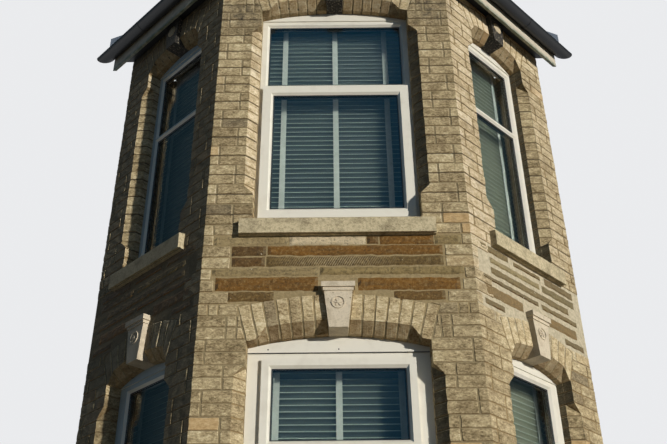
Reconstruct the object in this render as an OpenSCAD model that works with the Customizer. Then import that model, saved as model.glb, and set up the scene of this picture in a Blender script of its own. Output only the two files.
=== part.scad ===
// Two-storey canted bay of a brick and stone terrace house, cut off in the plane of the house wall.
// Right-handed, millimetres, Z up, ground at Z = 0, front face towards -Y, centre line at X = 0.

/* [Plan] */
// Width of the front face between the two outer corners
front_w = 1720; // [1400:10:2200]
// How far the front face stands in front of the house wall
proj = 900; // [700:10:1200]
// Thickness of the walls
wall_t = 250; // [240:5:270]

/* [Levels] */
// Top of the plinth
plinth_h = 436; // [300:2:700]
// How far the plinth stands out from the wall face
plinth_out = 45; // [20:5:80]
// Top of the ground floor boards
ground_floor_z = 700; // [600:10:900]
// Front edge of the top of the ground sills
ground_sill_z = 1400; // [1200:10:1600]
// Springing of the ground arches
ground_spring_z = 3545; // [3300:5:3700]
// Underside of the stone band
band_z = 3880; // [3850:5:3950]
// Front edge of the top of the upper sills
upper_sill_z = 4390; // [4380:5:4500]
// Springing of the upper arches
upper_spring_z = 6300; // [6100:5:6340]
// Underside of the soffit boards
soffit_z = 6620; // [6600:5:6640]

/* [Openings] */
// Width of the front openings between the square jambs
front_open = 1120; // [900:10:1200]
// Width of the canted openings between the square jambs
side_open = 680; // [500:10:740]
// Width of the chamfer along the jambs and arches
chamfer = 65; // [30:1:80]
// Height of the square jamb left under the chamfer
stop_low = 220; // [100:2:250]
// Height of the square jamb left over the chamfer
stop_high = 150; // [100:2:250]
// Rise of the front arches
front_rise = 75; // [50:5:120]
// Rise of the canted arches
side_rise = 60; // [40:5:100]
// Depth of the arch rings along their joints
ring = 240; // [200:5:250]
// Depth of the arch rings into the wall
arch_depth = 215; // [200:5:225]
// Height of the inner lintel over the crown of the arch
inner_head = 15; // [10:1:40]
// Share of the half opening where the chamfer of the arch runs
arch_run = 0.8; // [0.6:0.05:0.9]

/* [Keystones] */
// Width of the shaft at its top
key_top_w = 176; // [120:2:220]
// Width of the shaft at its bottom
key_bottom_w = 118; // [80:2:160]
// Height of the shaft of the ground keystones
key_shaft_h = 246; // [240:1:248]
// Height of the moulded cap
key_cap_h = 57; // [40:1:80]
// Height of the lower fillet of the cap
key_fillet_h = 22; // [10:1:40]
// How far the shaft stands out from the wall face
key_out = 40; // [15:5:60]
// How far the lower fillet of the cap stands out from the shaft
cap_step = 7; // [5:1:30]
// How far the upper fillet stands out from the lower fillet
cap_lip = 10; // [2:1:20]
// How far the keystone hangs below the crown of the arch
key_drop = 3; // [2:1:30]
// Outside diameter of the carved ring of the ground keystones
rosette_d = 86; // [40:2:100]
// Height of the centre of that ring over the bottom of the shaft
rosette_up = 167; // [140:1:180]
// How far the carving stands out from the shaft
rosette_h = 7; // [3:1:15]
// Diameter of the round bosses of the upper keystones
boss_d = 96; // [60:2:110]
// How far the bosses stand out from their shafts
boss_h = 15; // [8:1:25]
// Height of the centre of the bosses over the bottom of their shafts
boss_up = 153; // [130:1:170]

/* [Sills] */
// Height of the front of the sills
sill_h = 110; // [80:5:150]
// How far the sills stand out from the wall face
sill_out = 50; // [30:5:80]
// Length of the sill past the chamfered arris at each end
sill_past = 12; // [5:1:40]
// How much the top of the sill rises to the seat of the frame
sill_fall = 26; // [10:1:40]
// Depth of the sill into the wall
sill_depth = 200; // [170:5:240]
// Width of the drip groove
drip = 12; // [6:1:20]

/* [Windows] */
// Depth from the wall face to the front of the frames
recess = 112; // [80:2:130]
// Depth of the frames
frame_t = 70; // [60:1:90]
// Clearance between the frames and the brick jambs
frame_gap = 4; // [2:0.5:10]
// Width of the side bars of the upper frames
upper_bar = 56; // [45:1:80]
// Width of the side bars of the front ground frame
ground_bar = 120; // [90:1:140]
// Width of the side bars of the canted ground frames
canted_bar = 95; // [70:1:120]
// Height of the head bars and of the plain foot bars
head_bar = 50; // [40:1:70]
// Height of the head bar of the front ground frame
ground_head_bar = 75; // [50:1:90]
// Height of the foot bar of the front upper frame
upper_foot_bar = 94; // [80:1:130]
// How far the front ground frame stays below the springing
ground_head_drop = 33; // [10:1:80]
// Height of the transoms
transom_h = 50; // [40:1:80]
// Height of the transom over the sash of the front upper window
sash_transom_h = 75; // [60:1:100]
// Underside of the fixed top light of the upper windows
upper_light_z = 5665; // [5500:5:5800]
// Underside of the top light of the ground windows
ground_light_z = 2935; // [2800:5:3100]
// Width of the bars of the ground sash
ground_sash_bar = 62; // [54:1:80]
// Width of the bars of the upper sash
upper_sash_bar = 78; // [54:1:90]
// Width of the bevels round the glass
bevel = 18; // [8:1:20]
// How far the sashes overlap the frames
sash_lap = 32; // [15:1:45]
// How far the sashes stand out from the frames
sash_out = 26; // [10:1:30]
// Depth of the sashes inside the frames
sash_in = 45; // [30:1:60]
// Clearance between a sash and its frame
sash_gap = 4; // [2:0.5:8]
// Thickness of the sealed glass units
glass_t = 24; // [20:1:32]
// Thickness of the head panels that fill the arches
panel_t = 30; // [15:1:40]
// How far the head panels stand out from the frames
panel_out = 8; // [2:1:15]
// Thickness of the boards on the inner sills
board_t = 26; // [20:1:40]
// How far the inner boards stand out from the inner wall face
board_out = 30; // [10:5:35]

/* [Blinds] */
// Width of the blind rails from front to back
rail_w = 50; // [40:1:60]
// Height of the head rails
rail_h = 48; // [30:1:60]
// Height of the bottom rails
foot_h = 18; // [10:1:30]
// Width of the ladder tapes
tape_w = 40; // [25:1:50]
// Thickness of the ladder tapes
tape_t = 2; // [1:0.5:4]
// Distance from the centre of the front blinds to their outer tapes
tape_x = 385; // [300:5:420]
// Distance from the centre of the canted blinds to their tapes
canted_tape_x = 260; // [150:5:280]
// Distance from the faces of the rails to the ladder tapes
tape_in = 3; // [1:0.5:6]
// Height of the foot of the blind above the seat of the frame
blind_lift = 70; // [60:5:120]
// Clearance between the blinds and the line of the jambs at each side
blind_gap = 4; // [2:1:20]
// Clearance between the inner lintels and the head rails over them
rail_up = 5; // [2:1:10]

/* [Floors] */
// Thickness of the ground floor
ground_floor_t = 120; // [80:5:200]
// Top of the first floor boards
first_floor_z = 4000; // [3950:10:4100]
// Thickness of the first floor with its ceiling
first_floor_t = 250; // [200:5:300]
// Underside of the upper ceiling
ceiling_z = 6540; // [6450:5:6600]
// Thickness of the upper ceiling
ceiling_t = 100; // [60:5:140]

/* [Eaves and roof] */
// Distance from the wall face to the front of the fascia
eaves_out = 120; // [110:1:220]
// Thickness of the fascia boards
fascia_t = 22; // [18:1:30]
// Underside of the fascia
fascia_z = 6520; // [6500:5:6600]
// Height of the fascia
fascia_h = 206; // [190:2:260]
// Thickness of the soffit boards
soffit_t = 15; // [9:1:25]
// Outside radius of the gutter
gutter_r = 56; // [50:1:70]
// Thickness of the gutter
gutter_t = 3; // [2:0.5:5]
// Width of the joints at the corners of the gutter
joint = 1; // [0.5:0.5:3]
// Height of the gutter's rims over its widest level
gutter_lip = 5; // [3:1:10]
// Drop of the gutter below the top of the fascia
gutter_drop = 60; // [15:1:70]
// Slope of the roof in degrees
pitch = 35; // [25:1:45]
// Thickness of the battens and slates together
cover_t = 40; // [30:1:60]
// How far the slates hang over the fascia
slate_over = 45; // [30:5:60]
// Depth of the rafters
rafter_h = 100; // [75:5:125]
// Thickness of the rafters
rafter_t = 50; // [38:1:63]
// Spacing of the rafters
rafter_step = 400; // [350:10:450]
// Distance of the last rafter of a canted side from its house end
rafter_end = 236; // [200:2:300]
// Width of the wall plates
plate_w = 100; // [75:5:120]
// Height of the wall plates
plate_h = 75; // [50:5:100]
// Distance from the wall face to the wall plates
plate_in = 50; // [20:5:90]
// Depth of the notches of the rafters over the wall plates
notch = 25; // [15:1:35]
// Width of the hip tiles on each side of the hip
hip_w = 105; // [75:5:150]
// Thickness of the hip tiles
hip_t = 14; // [10:1:20]
// Height of the lead flashing up the house wall
lead_up = 150; // [100:10:200]
// Width of the lead that lies on the slates
lead_apron_w = 120; // [80:10:150]
// Thickness of the lead flashing
lead_t = 4; // [2:0.5:8]

/* [Hidden] */
$fn = 96;
arch_fn = 720;
slack = 1;
half = front_w / 2;
side_w = proj * sqrt(2);
miter = tan(22.5);
gutter_out = eaves_out + 2 * gutter_r;
back_y = (proj + gutter_out) / 2;
front_y = back_y - proj;
side_x = half + proj / 2;
side_y = front_y + proj / 2;
seat_rise = sill_fall;
seat_lap = sash_out + 2;
frame_back = recess + frame_t;
fascia_top = fascia_z + fascia_h;
upper_head = upper_spring_z - frame_gap;
far = 2 * (half + proj + gutter_out);
front_steps = floor(half / rafter_step);
band_top = upper_sill_z - sill_h;
// The rafters come down over the wall plates, and the plates stand on the walls
plate_z = fascia_top + (eaves_out + plate_in) * tan(pitch) - rafter_h / cos(pitch) + notch - plate_h;
wall_top_z = plate_z;

// Half the square width of an opening; side 0 is the front, -1 the left and 1 the right canted face
function open_half(side) = (side == 0 ? front_open : side_open) / 2;
function arch_rise(side) = side == 0 ? front_rise : side_rise;
function arch_radius(side) = (pow(open_half(side), 2) + pow(arch_rise(side), 2)) / (2 * arch_rise(side));
function arch_centre(side, spring) = spring + arch_rise(side) - arch_radius(side);
function crown(side, spring) = spring + arch_rise(side);

// Moves a piece drawn on its own face (X along it, Y into the wall) to that side of the bay
module on_side(side) {
  if (side == 0) translate([0, front_y, 0]) children();
  if (side == 1) translate([side_x, side_y, 0]) rotate([0, 0, 45]) children();
  if (side == -1) translate([-side_x, side_y, 0]) rotate([0, 0, -45]) children();
}

// Plan of the bay at a distance in front of its faces, negative behind them, running past the house wall
module plan_2d(out, past = 0) {
  x = half + proj + out * sqrt(2) + past;
  polygon([[-half - out * miter, front_y - out], [half + out * miter, front_y - out],
    [x, back_y + past], [-x, back_y + past]]);
}

// A strip round the bay between two distances in front of its faces
module strip(outer, inner, z0, z1) {
  translate([0, 0, z0]) linear_extrude(z1 - z0) difference() {
    plan_2d(outer);
    plan_2d(inner, slack);
  }
}

// Plan of one side between the mitre lines of its corners, cut off at the house wall
module sector_2d(side, reach) {
  if (side == 0)
    polygon([
      [-half - reach * miter, front_y - reach], [half + reach * miter, front_y - reach],
      [half - proj * miter, front_y + proj],
      [-half + proj * miter, front_y + proj]]);
  if (side != 0)
    mirror([side == 1 ? 0 : 1, 0])
      polygon([
        [half + reach * miter, front_y - reach], [far, front_y - reach], [far, back_y],
        [half - proj * miter, back_y]]);
}

module sector(side, z0, z1) {
  translate([0, 0, z0]) linear_extrude(z1 - z0) sector_2d(side, 2 * gutter_out);
}

// A straight run of a profile (distance into the wall, height) mitred to its neighbours
module run(side, z0, z1) {
  intersection() {
    on_side(side) translate([-far / 2, 0, 0]) rotate([90, 0, 90]) linear_extrude(far) children();
    sector(side, z0, z1);
  }
}

module wall_run(side, z0, z1) {
  run(side, z0, z1) translate([0, z0]) square([wall_t, z1 - z0]);
}

// Draws an outline (along the face, height) from depth y0 to depth y1
module plate(y0, y1) {
  translate([0, y1, 0]) rotate([90, 0, 0]) linear_extrude(y1 - y0) children();
}

module box(x0, x1, y0, y1, z0, z1) {
  translate([x0, y0, z0]) cube([x1 - x0, y1 - y0, z1 - z0]);
}

// Outline of an opening under its arch
module arch_2d(side, z0, spring, grow) {
  hw = open_half(side) + grow;
  intersection() {
    translate([-hw, z0]) square([2 * hw, crown(side, spring) + grow - z0 + slack]);
    union() {
      translate([-hw, z0]) square([2 * hw, spring - z0]);
      translate([0, arch_centre(side, spring)]) circle(r = arch_radius(side) + grow, $fn = arch_fn);
    }
  }
}

// Outline of the arch ring between its skewbacks
module ring_2d(side, spring) {
  zc = arch_centre(side, spring);
  intersection() {
    translate([0, zc]) difference() {
      circle(r = arch_radius(side) + ring, $fn = arch_fn);
      circle(r = arch_radius(side), $fn = arch_fn);
    }
    skewback_2d(side, spring);
  }
}

// Wedge between the two skewbacks of an arch
module skewback_2d(side, spring) {
  zc = arch_centre(side, spring);
  hw = open_half(side);
  polygon([[0, zc], [2 * hw, zc + 2 * (spring - zc)], [-2 * hw, zc + 2 * (spring - zc)]]);
}

// Opening together with its arch ring, as cut out of the outer part of the wall
module arched_recess_2d(side, z0, spring) {
  zc = arch_centre(side, spring);
  hw = open_half(side);
  translate([-hw, z0]) square([2 * hw, spring - z0]);
  intersection() {
    translate([0, zc]) circle(r = arch_radius(side) + ring, $fn = arch_fn);
    skewback_2d(side, spring);
  }
}

// Chamfers of both jambs, with splayed stops
module jamb_chamfers(side, sill_z, spring) {
  hw = open_half(side);
  z0 = sill_z + stop_low;
  z1 = spring - stop_high;
  for (m = [0, 1]) mirror([m, 0, 0])
    intersection() {
      translate([0, 0, z0])
        linear_extrude(z1 - z0)
          polygon([[hw - slack, -slack], [hw + chamfer + slack, -slack], [hw - slack, chamfer + slack]]);
      plate(-2 * slack, chamfer + 2 * slack)
        polygon([[hw - 2 * slack, z0], [hw + chamfer + 2 * slack, z0 + chamfer],
          [hw + chamfer + 2 * slack, z1 - chamfer], [hw - 2 * slack, z1]]);
    }
}

// Chamfer of the lower arris of an arch, with splayed stops
module arch_chamfer(side, spring) {
  hw = open_half(side);
  r = arch_radius(side);
  zc = arch_centre(side, spring);
  intersection() {
    translate([0, 0, zc]) rotate([-90, 0, 0])
      rotate_extrude($fn = arch_fn)
        polygon([[r - slack, -slack], [r + chamfer + slack, -slack], [r - slack, chamfer + slack]]);
    plate(-2 * slack, chamfer + 2 * slack)
      polygon([[-hw * arch_run - chamfer, spring - slack], [hw * arch_run + chamfer, spring - slack],
        [hw * arch_run - chamfer, crown(side, spring) + 2 * chamfer],
        [-hw * arch_run + chamfer, crown(side, spring) + 2 * chamfer]]);
  }
}

// Profile of a sill (distance into the wall, height above its front edge)
module sill_2d() {
  difference() {
    polygon([[-sill_out, -sill_h], [-sill_out, 0], [recess - seat_lap, seat_rise], [sill_depth, seat_rise],
      [sill_depth, -sill_h]]);
    translate([-sill_out + drip, -sill_h - slack]) square([drip, drip / 2 + slack]);
  }
}

module sill(side, z) {
  length = open_half(side) + chamfer + sill_past;
  translate([-length, 0, z]) rotate([90, 0, 90]) linear_extrude(2 * length) sill_2d();
}

// Outline of a keystone's shaft from z0 to z1
module key_2d(z0, z1) {
  spread = (key_top_w - key_bottom_w) / key_shaft_h / 2;
  w0 = key_bottom_w / 2;
  w1 = w0 + (z1 - z0) * spread;
  polygon([[-w0, z0], [w0, z0], [w1, z1], [-w1, z1]]);
}

function key_foot(side, spring) = crown(side, spring) - key_drop;

// The ground keystones carry a cap, the upper ones run up to the soffit
module ground_keystone_body(side) {
  z = key_foot(side, ground_spring_z);
  top = z + key_shaft_h;
  w = key_top_w / 2 + cap_step;
  plate(-key_out, recess) key_2d(z, top);
  box(-w, w, -key_out - cap_step, recess, top, top + key_fillet_h);
  box(-w - cap_lip, w + cap_lip, -key_out - cap_step - cap_lip, recess,
    top + key_fillet_h, top + key_cap_h);
}

module upper_keystone_body(side) {
  plate(-key_out, recess) key_2d(key_foot(side, upper_spring_z), soffit_z);
}

// Carved flower of six petals in a ring
module rosette() {
  r = rosette_d / 2;
  difference() {
    cylinder(h = rosette_h, r = r);
    translate([0, 0, -slack]) cylinder(h = rosette_h + 2 * slack, r = r * 0.82);
  }
  cylinder(h = rosette_h + 2, r = r * 0.22);
  for (k = [0:5]) rotate([0, 0, 60 * k])
    intersection() {
      translate([r * 0.36, r * 0.36, 0]) cylinder(h = rosette_h - 1, r = r * 0.48);
      translate([r * 0.36, -r * 0.36, 0]) cylinder(h = rosette_h - 1, r = r * 0.48);
    }
}

// Puts a carving on the front of a keystone at height z
module carved(z) {
  translate([0, -key_out + slack, z]) rotate([90, 0, 0]) children();
}

// Low dome on a thin disc
module boss() {
  r = boss_d / 2;
  rise = boss_h - rosette_h / 2;
  cap_r = (r * r + rise * rise) / (2 * rise);
  cylinder(h = rosette_h / 2, r = r);
  intersection() {
    translate([0, 0, boss_h - cap_r]) sphere(r = cap_r);
    cylinder(h = boss_h, r = r - 2 * slack);
  }
}

// Everything that is cut out of the masonry of one side
module cutter(side, sill_z, spring) {
  hw = open_half(side);
  box(-hw, hw, -slack, wall_t + slack, sill_z, spring);
  box(-hw, hw, arch_depth, wall_t + slack, spring - slack, crown(side, spring) + inner_head);
  plate(-slack, arch_depth) arched_recess_2d(side, sill_z, spring);
  jamb_chamfers(side, sill_z, spring);
  sill(side, sill_z);
}

module cutters(side) {
  on_side(side) {
    cutter(side, ground_sill_z, ground_spring_z);
    cutter(side, upper_sill_z, upper_spring_z);
    ground_keystone_body(side);
    upper_keystone_body(side);
  }
}

module masonry(side, z0, z1) {
  difference() {
    wall_run(side, z0, z1);
    cutters(side);
  }
}

module arch(side, spring) {
  intersection() {
    sector(side, 0, 3 * far);
    on_side(side) difference() {
      plate(0, arch_depth) ring_2d(side, spring);
      arch_chamfer(side, spring);
      ground_keystone_body(side);
      upper_keystone_body(side);
    }
  }
}

// Solid plinth under its three sloping tops, hollowed out for the ground floor
module plinth() {
  color("Tan") difference() {
    intersection_for(side = [-1:1]) {
      on_side(side) translate([-far, 0, 0]) rotate([90, 0, 90]) linear_extrude(2 * far)
        polygon([[-plinth_out, 0], [far, 0], [far, plinth_h], [0, plinth_h],
          [-plinth_out, plinth_h - plinth_out]]);
    }
    box(-far, far, back_y, 2 * far, -slack, plinth_h + slack);
    translate([0, 0, -slack]) linear_extrude(plinth_h + 2 * slack) plan_2d(-wall_t, slack);
  }
}

module ground_wall_left() { color("Khaki") masonry(-1, plinth_h, band_z); }
module ground_wall_front() { color("Khaki") masonry(0, plinth_h, band_z); }
module ground_wall_right() { color("Khaki") masonry(1, plinth_h, band_z); }
module stone_band_left() { color("Peru") masonry(-1, band_z, band_top); }
module stone_band_front() { color("Peru") masonry(0, band_z, band_top); }
module stone_band_right() { color("Peru") masonry(1, band_z, band_top); }
module upper_wall_left() { color("Khaki") masonry(-1, band_top, wall_top_z); }
module upper_wall_front() { color("Khaki") masonry(0, band_top, wall_top_z); }
module upper_wall_right() { color("Khaki") masonry(1, band_top, wall_top_z); }
module ground_arch_left() { color("DarkKhaki") arch(-1, ground_spring_z); }
module ground_arch_front() { color("DarkKhaki") arch(0, ground_spring_z); }
module ground_arch_right() { color("DarkKhaki") arch(1, ground_spring_z); }
module upper_arch_left() { color("DarkKhaki") arch(-1, upper_spring_z); }
module upper_arch_front() { color("DarkKhaki") arch(0, upper_spring_z); }
module upper_arch_right() { color("DarkKhaki") arch(1, upper_spring_z); }

module ground_keystones() {
  color("Beige") for (side = [-1:1]) on_side(side) {
    ground_keystone_body(side);
    carved(key_foot(side, ground_spring_z) + rosette_up) rosette();
  }
}

module upper_keystones() {
  color("Tan") for (side = [-1:1]) on_side(side) upper_keystone_body(side);
}

module upper_bosses() {
  color("Beige") for (side = [-1:1]) on_side(side)
    translate([0, -slack, 0]) carved(key_foot(side, upper_spring_z) + boss_up) boss();
}

module ground_sills() {
  color("BurlyWood") for (side = [-1:1]) on_side(side) sill(side, ground_sill_z);
}

module upper_sills() {
  color("BurlyWood") for (side = [-1:1]) on_side(side) sill(side, upper_sill_z);
}

// Hole of a light through its bars, with a bevelled edge all round; y is the front of the bars
module light_cut(hw, z0, z1, y) {
  box(-hw, hw, y - slack, frame_back + slack, z0, z1);
  intersection() {
    translate([0, 0, z0 - 2 * bevel]) linear_extrude(z1 - z0 + 4 * bevel)
      polygon([[-hw - bevel, y], [-hw - bevel, y - slack], [hw + bevel, y - slack], [hw + bevel, y],
        [hw, y + bevel], [-hw, y + bevel]]);
    translate([-hw - 2 * bevel, 0, 0]) rotate([90, 0, 90]) linear_extrude(2 * hw + 4 * bevel)
      polygon([[y, z0 - bevel], [y - slack, z0 - bevel], [y - slack, z1 + bevel], [y, z1 + bevel],
        [y + bevel, z1], [y + bevel, z0]]);
  }
}

// Half the width between the side bars of a frame
function light_half(side, bar) = open_half(side) - frame_gap - bar;

// The front ground window has its own bar sizes
function ground_side_bar(side) = side == 0 ? ground_bar : canted_bar;
function ground_head(side) = ground_spring_z - (side == 0 ? ground_head_drop : frame_gap);
function ground_light_top(side) = ground_head(side) - (side == 0 ? ground_head_bar : head_bar);
function upper_low_top(side) = upper_light_z - (side == 0 ? sash_transom_h : transom_h);
function upper_foot(side) = upper_sill_z + seat_rise + (side == 0 ? upper_foot_bar : head_bar);

// Outer frame up to its head, with a light from low_z to low_top and another from light_z to top_z
module frame(side, sill_z, head, bar, low_z, low_top, light_z, top_z) {
  hw = light_half(side, bar);
  difference() {
    box(-hw - bar, hw + bar, recess, frame_back, sill_z + seat_rise, head);
    light_cut(hw, low_z, low_top, recess);
    light_cut(hw, light_z, top_z, recess);
  }
}

module ground_frames() {
  color("Ivory") for (side = [-1:1]) on_side(side)
    frame(side, ground_sill_z, ground_head(side), ground_side_bar(side), ground_sill_z + seat_rise + head_bar,
      ground_light_z - transom_h, ground_light_z, ground_light_top(side));
}

module upper_frames() {
  color("Ivory") for (side = [-1:1]) on_side(side)
    frame(side, upper_sill_z, upper_head, upper_bar, upper_foot(side), upper_low_top(side),
      upper_light_z, upper_head - head_bar);
}

// Sash that fills a light of the frame from z0 to z1
module sash(hw, z0, z1, bar) {
  difference() {
    union() {
      box(-hw - sash_lap, hw + sash_lap, recess - sash_out, recess, z0 - sash_lap, z1 + sash_lap);
      box(-hw + sash_gap, hw - sash_gap, recess, recess + sash_in, z0 + sash_gap, z1 - sash_gap);
    }
    light_cut(hw + sash_lap - bar, z0 - sash_lap + bar, z1 + sash_lap - bar, recess - sash_out);
  }
}

module ground_sashes() {
  color("White") on_side(0)
    sash(light_half(0, ground_bar), ground_light_z, ground_light_top(0), ground_sash_bar);
}

module upper_sashes() {
  color("White") on_side(0)
    sash(light_half(0, upper_bar), upper_foot(0), upper_low_top(0), upper_sash_bar);
}

// Panel between the head of a frame and its arch
module head_panel(side, head, spring) {
  plate(recess - panel_out, recess - panel_out + panel_t) arch_2d(side, head, spring, -frame_gap);
}

module ground_head_panels() {
  color("White") for (side = [-1:1]) on_side(side) head_panel(side, ground_head(side), ground_spring_z);
}

module upper_head_panels() {
  color("White") for (side = [-1:1]) on_side(side) head_panel(side, upper_head, upper_spring_z);
}

// Sealed glass of a light, against the bevels of its bars
module pane(hw, z0, z1, y) {
  box(-hw, hw, y + bevel, y + bevel + glass_t, z0, z1);
}

module sash_pane(hw, z0, z1, bar) {
  cut = bar - sash_lap;
  pane(hw - cut, z0 + cut, z1 - cut, recess - sash_out);
}

module ground_glass() {
  color("SteelBlue", 0.5) for (side = [-1:1]) on_side(side) {
    hw = light_half(side, ground_side_bar(side));
    pane(hw, ground_sill_z + seat_rise + head_bar, ground_light_z - transom_h, recess);
    if (side == 0) sash_pane(hw, ground_light_z, ground_light_top(side), ground_sash_bar);
    if (side != 0) pane(hw, ground_light_z, ground_light_top(side), recess);
  }
}

module upper_glass() {
  color("SteelBlue", 0.5) for (side = [-1:1]) on_side(side) {
    hw = light_half(side, upper_bar);
    if (side == 0) sash_pane(hw, upper_foot(side), upper_low_top(side), upper_sash_bar);
    if (side != 0) pane(hw, upper_foot(side), upper_low_top(side), recess);
    pane(hw, upper_light_z, upper_head - head_bar, recess);
  }
}

// Head rail on the inner wall face over the opening, with its foot rail and ladder tapes
module blind(side, sill_z, spring) {
  hw = open_half(side) - blind_gap;
  z0 = sill_z + seat_rise + blind_lift;
  z1 = crown(side, spring) + inner_head + rail_up;
  back = wall_t + rail_w;
  lining = tape_in + tape_t;
  tapes = side == 0 ? [-tape_x, 0, tape_x] : [-canted_tape_x, canted_tape_x];
  box(-hw, hw, wall_t, back, z1, z1 + rail_h);
  box(-hw, hw, wall_t + lining, back - lining, z0, z0 + foot_h);
  for (x = tapes, y = [wall_t + tape_in, back - lining])
    box(x - tape_w / 2, x + tape_w / 2, y, y + tape_t, z0, z1);
}

module ground_blinds() {
  color("Gainsboro") for (side = [-1:1]) on_side(side) blind(side, ground_sill_z, ground_spring_z);
}

module upper_blinds() {
  color("Gainsboro") for (side = [-1:1]) on_side(side) blind(side, upper_sill_z, upper_spring_z);
}

module window_board(side, sill_z) {
  hw = open_half(side);
  box(-hw, hw, sill_depth, wall_t + board_out, sill_z, sill_z + board_t);
}

module window_boards() {
  color("White") for (side = [-1:1]) on_side(side) {
    window_board(side, ground_sill_z);
    window_board(side, upper_sill_z);
  }
}

// Floor or ceiling between the inner faces of the walls
module slab(z0, t) {
  translate([0, 0, z0]) linear_extrude(t) plan_2d(-wall_t);
}

module ground_floor() { color("SaddleBrown") slab(ground_floor_z - ground_floor_t, ground_floor_t); }
module first_floor() { color("SaddleBrown") slab(first_floor_z - first_floor_t, first_floor_t); }
module ceiling() { color("White") slab(ceiling_z, ceiling_t); }

module wall_plate() {
  color("BurlyWood") strip(-plate_in, -plate_in - plate_w, plate_z, plate_z + plate_h);
}

// Sloping layer of the roof on one side, between heights a and b square to the slope
module slope(side, a, b, over) {
  intersection() {
    on_side(side) translate([0, -eaves_out, fascia_top]) rotate([pitch, 0, 0])
      box(-far / 2, far / 2, -over / cos(pitch), far, a, b);
    sector(side, 0, 3 * far);
  }
}

// Everything below the roof planes raised by a height square to the slope
module under_roof(h, over) {
  intersection_for(side = [-1:1])
    on_side(side) translate([0, -eaves_out, fascia_top]) rotate([pitch, 0, 0])
      box(-far, far, -over, far, -far, h);
}

// Places of the rafters along a side: both ways from the middle of the front, from the house end on a cant
function rafter_places(side) = side == 0
  ? [for (k = [-front_steps:front_steps]) k * rafter_step]
  : [for (x = [side_w / 2 - rafter_end:-rafter_step:-side_w / 2 + 3 * rafter_t]) side * x];

module rafters() {
  color("Sienna") difference() {
    for (side = [-1:1]) intersection() {
      slope(side, -rafter_h, 0, 0);
      on_side(side) for (x = rafter_places(side))
        box(x - rafter_t / 2, x + rafter_t / 2, -eaves_out + fascia_t, far, soffit_z + soffit_t, 3 * far);
    }
    wall_plate();
  }
}

module soffit() {
  color("DimGray") strip(eaves_out - fascia_t, 0, soffit_z, soffit_z + soffit_t);
}

module fascia() {
  color("Ivory") strip(eaves_out, eaves_out - fascia_t, fascia_z, fascia_top);
}

module gutter() {
  zc = fascia_top - gutter_drop;
  color("Black") difference() {
    for (side = [-1:1])
      run(side, zc - gutter_r, zc + gutter_lip)
        translate([-eaves_out - gutter_r, zc]) difference() {
          circle(r = gutter_r);
          circle(r = gutter_r - gutter_t);
          translate([-2 * gutter_r, gutter_lip]) square(4 * gutter_r);
        }
    for (m = [0, 1]) hip_strip(m, joint / 2);
  }
}

module roof_left() { color("SlateGray") slope(-1, 0, cover_t, slate_over); }
module roof_front() { color("SlateGray") slope(0, 0, cover_t, slate_over); }
module roof_right() { color("SlateGray") slope(1, 0, cover_t, slate_over); }

// Strip on plan along one hip
module hip_strip(m, w) {
  mirror([m, 0, 0]) translate([half, front_y, 0]) rotate([0, 0, 22.5])
    box(-w, w, -far, far, 0, 3 * far);
}

// The tiles over the hips stop at the edge of the lead
module hip_tiles() {
  color("DimGray") for (m = [0, 1]) intersection() {
    union() {
      slope(0, cover_t, cover_t + hip_t, slate_over);
      slope(m == 0 ? 1 : -1, cover_t, cover_t + hip_t, slate_over);
    }
    hip_strip(m, hip_w);
    box(-far, far, -far, back_y - lead_apron_w, 0, 3 * far);
  }
}

// Part of the flashing that lies on the slates
module lead_apron() {
  intersection() {
    difference() {
      under_roof(cover_t + lead_t, 0);
      under_roof(cover_t, slack);
    }
    box(-far, far, back_y - lead_apron_w, back_y, fascia_z, 3 * far);
  }
}

module flashing() {
  top = fascia_top + cover_t / cos(pitch);
  edge = half + proj + (eaves_out + slate_over) * sqrt(2);
  rise = (proj + eaves_out) * tan(pitch);
  side_tan = tan(pitch) / sqrt(2);
  x1 = edge - (rise + slate_over * tan(pitch)) / side_tan;
  z0 = top - slate_over * tan(pitch);
  color("Gray") lead_apron();
  color("Gray") translate([0, back_y, lead_t / 2]) rotate([90, 0, 0]) linear_extrude(lead_t)
    polygon([[-edge, z0], [-x1, top + rise], [x1, top + rise], [edge, z0], [edge, z0 + lead_up],
      [x1, top + rise + lead_up], [-x1, top + rise + lead_up], [-edge, z0 + lead_up]]);
}

plinth();
ground_wall_left();
ground_wall_front();
ground_wall_right();
stone_band_left();
stone_band_front();
stone_band_right();
upper_wall_left();
upper_wall_front();
upper_wall_right();
ground_arch_left();
ground_arch_front();
ground_arch_right();
upper_arch_left();
upper_arch_front();
upper_arch_right();
ground_keystones();
upper_keystones();
upper_bosses();
ground_sills();
upper_sills();
ground_frames();
upper_frames();
ground_sashes();
upper_sashes();
ground_head_panels();
upper_head_panels();
ground_glass();
upper_glass();
ground_blinds();
upper_blinds();
window_boards();
ground_floor();
first_floor();
ceiling();
wall_plate();
rafters();
soffit();
fascia();
gutter();
roof_left();
roof_front();
roof_right();
hip_tiles();
flashing();
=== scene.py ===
"""Dresses a two-storey canted bay of brick and stone, with its light and camera."""
import logging
import math
import random
from dataclasses import dataclass, field
from enum import Enum
from typing import Callable, Sequence

import bmesh
import bpy
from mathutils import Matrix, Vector, noise


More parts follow.
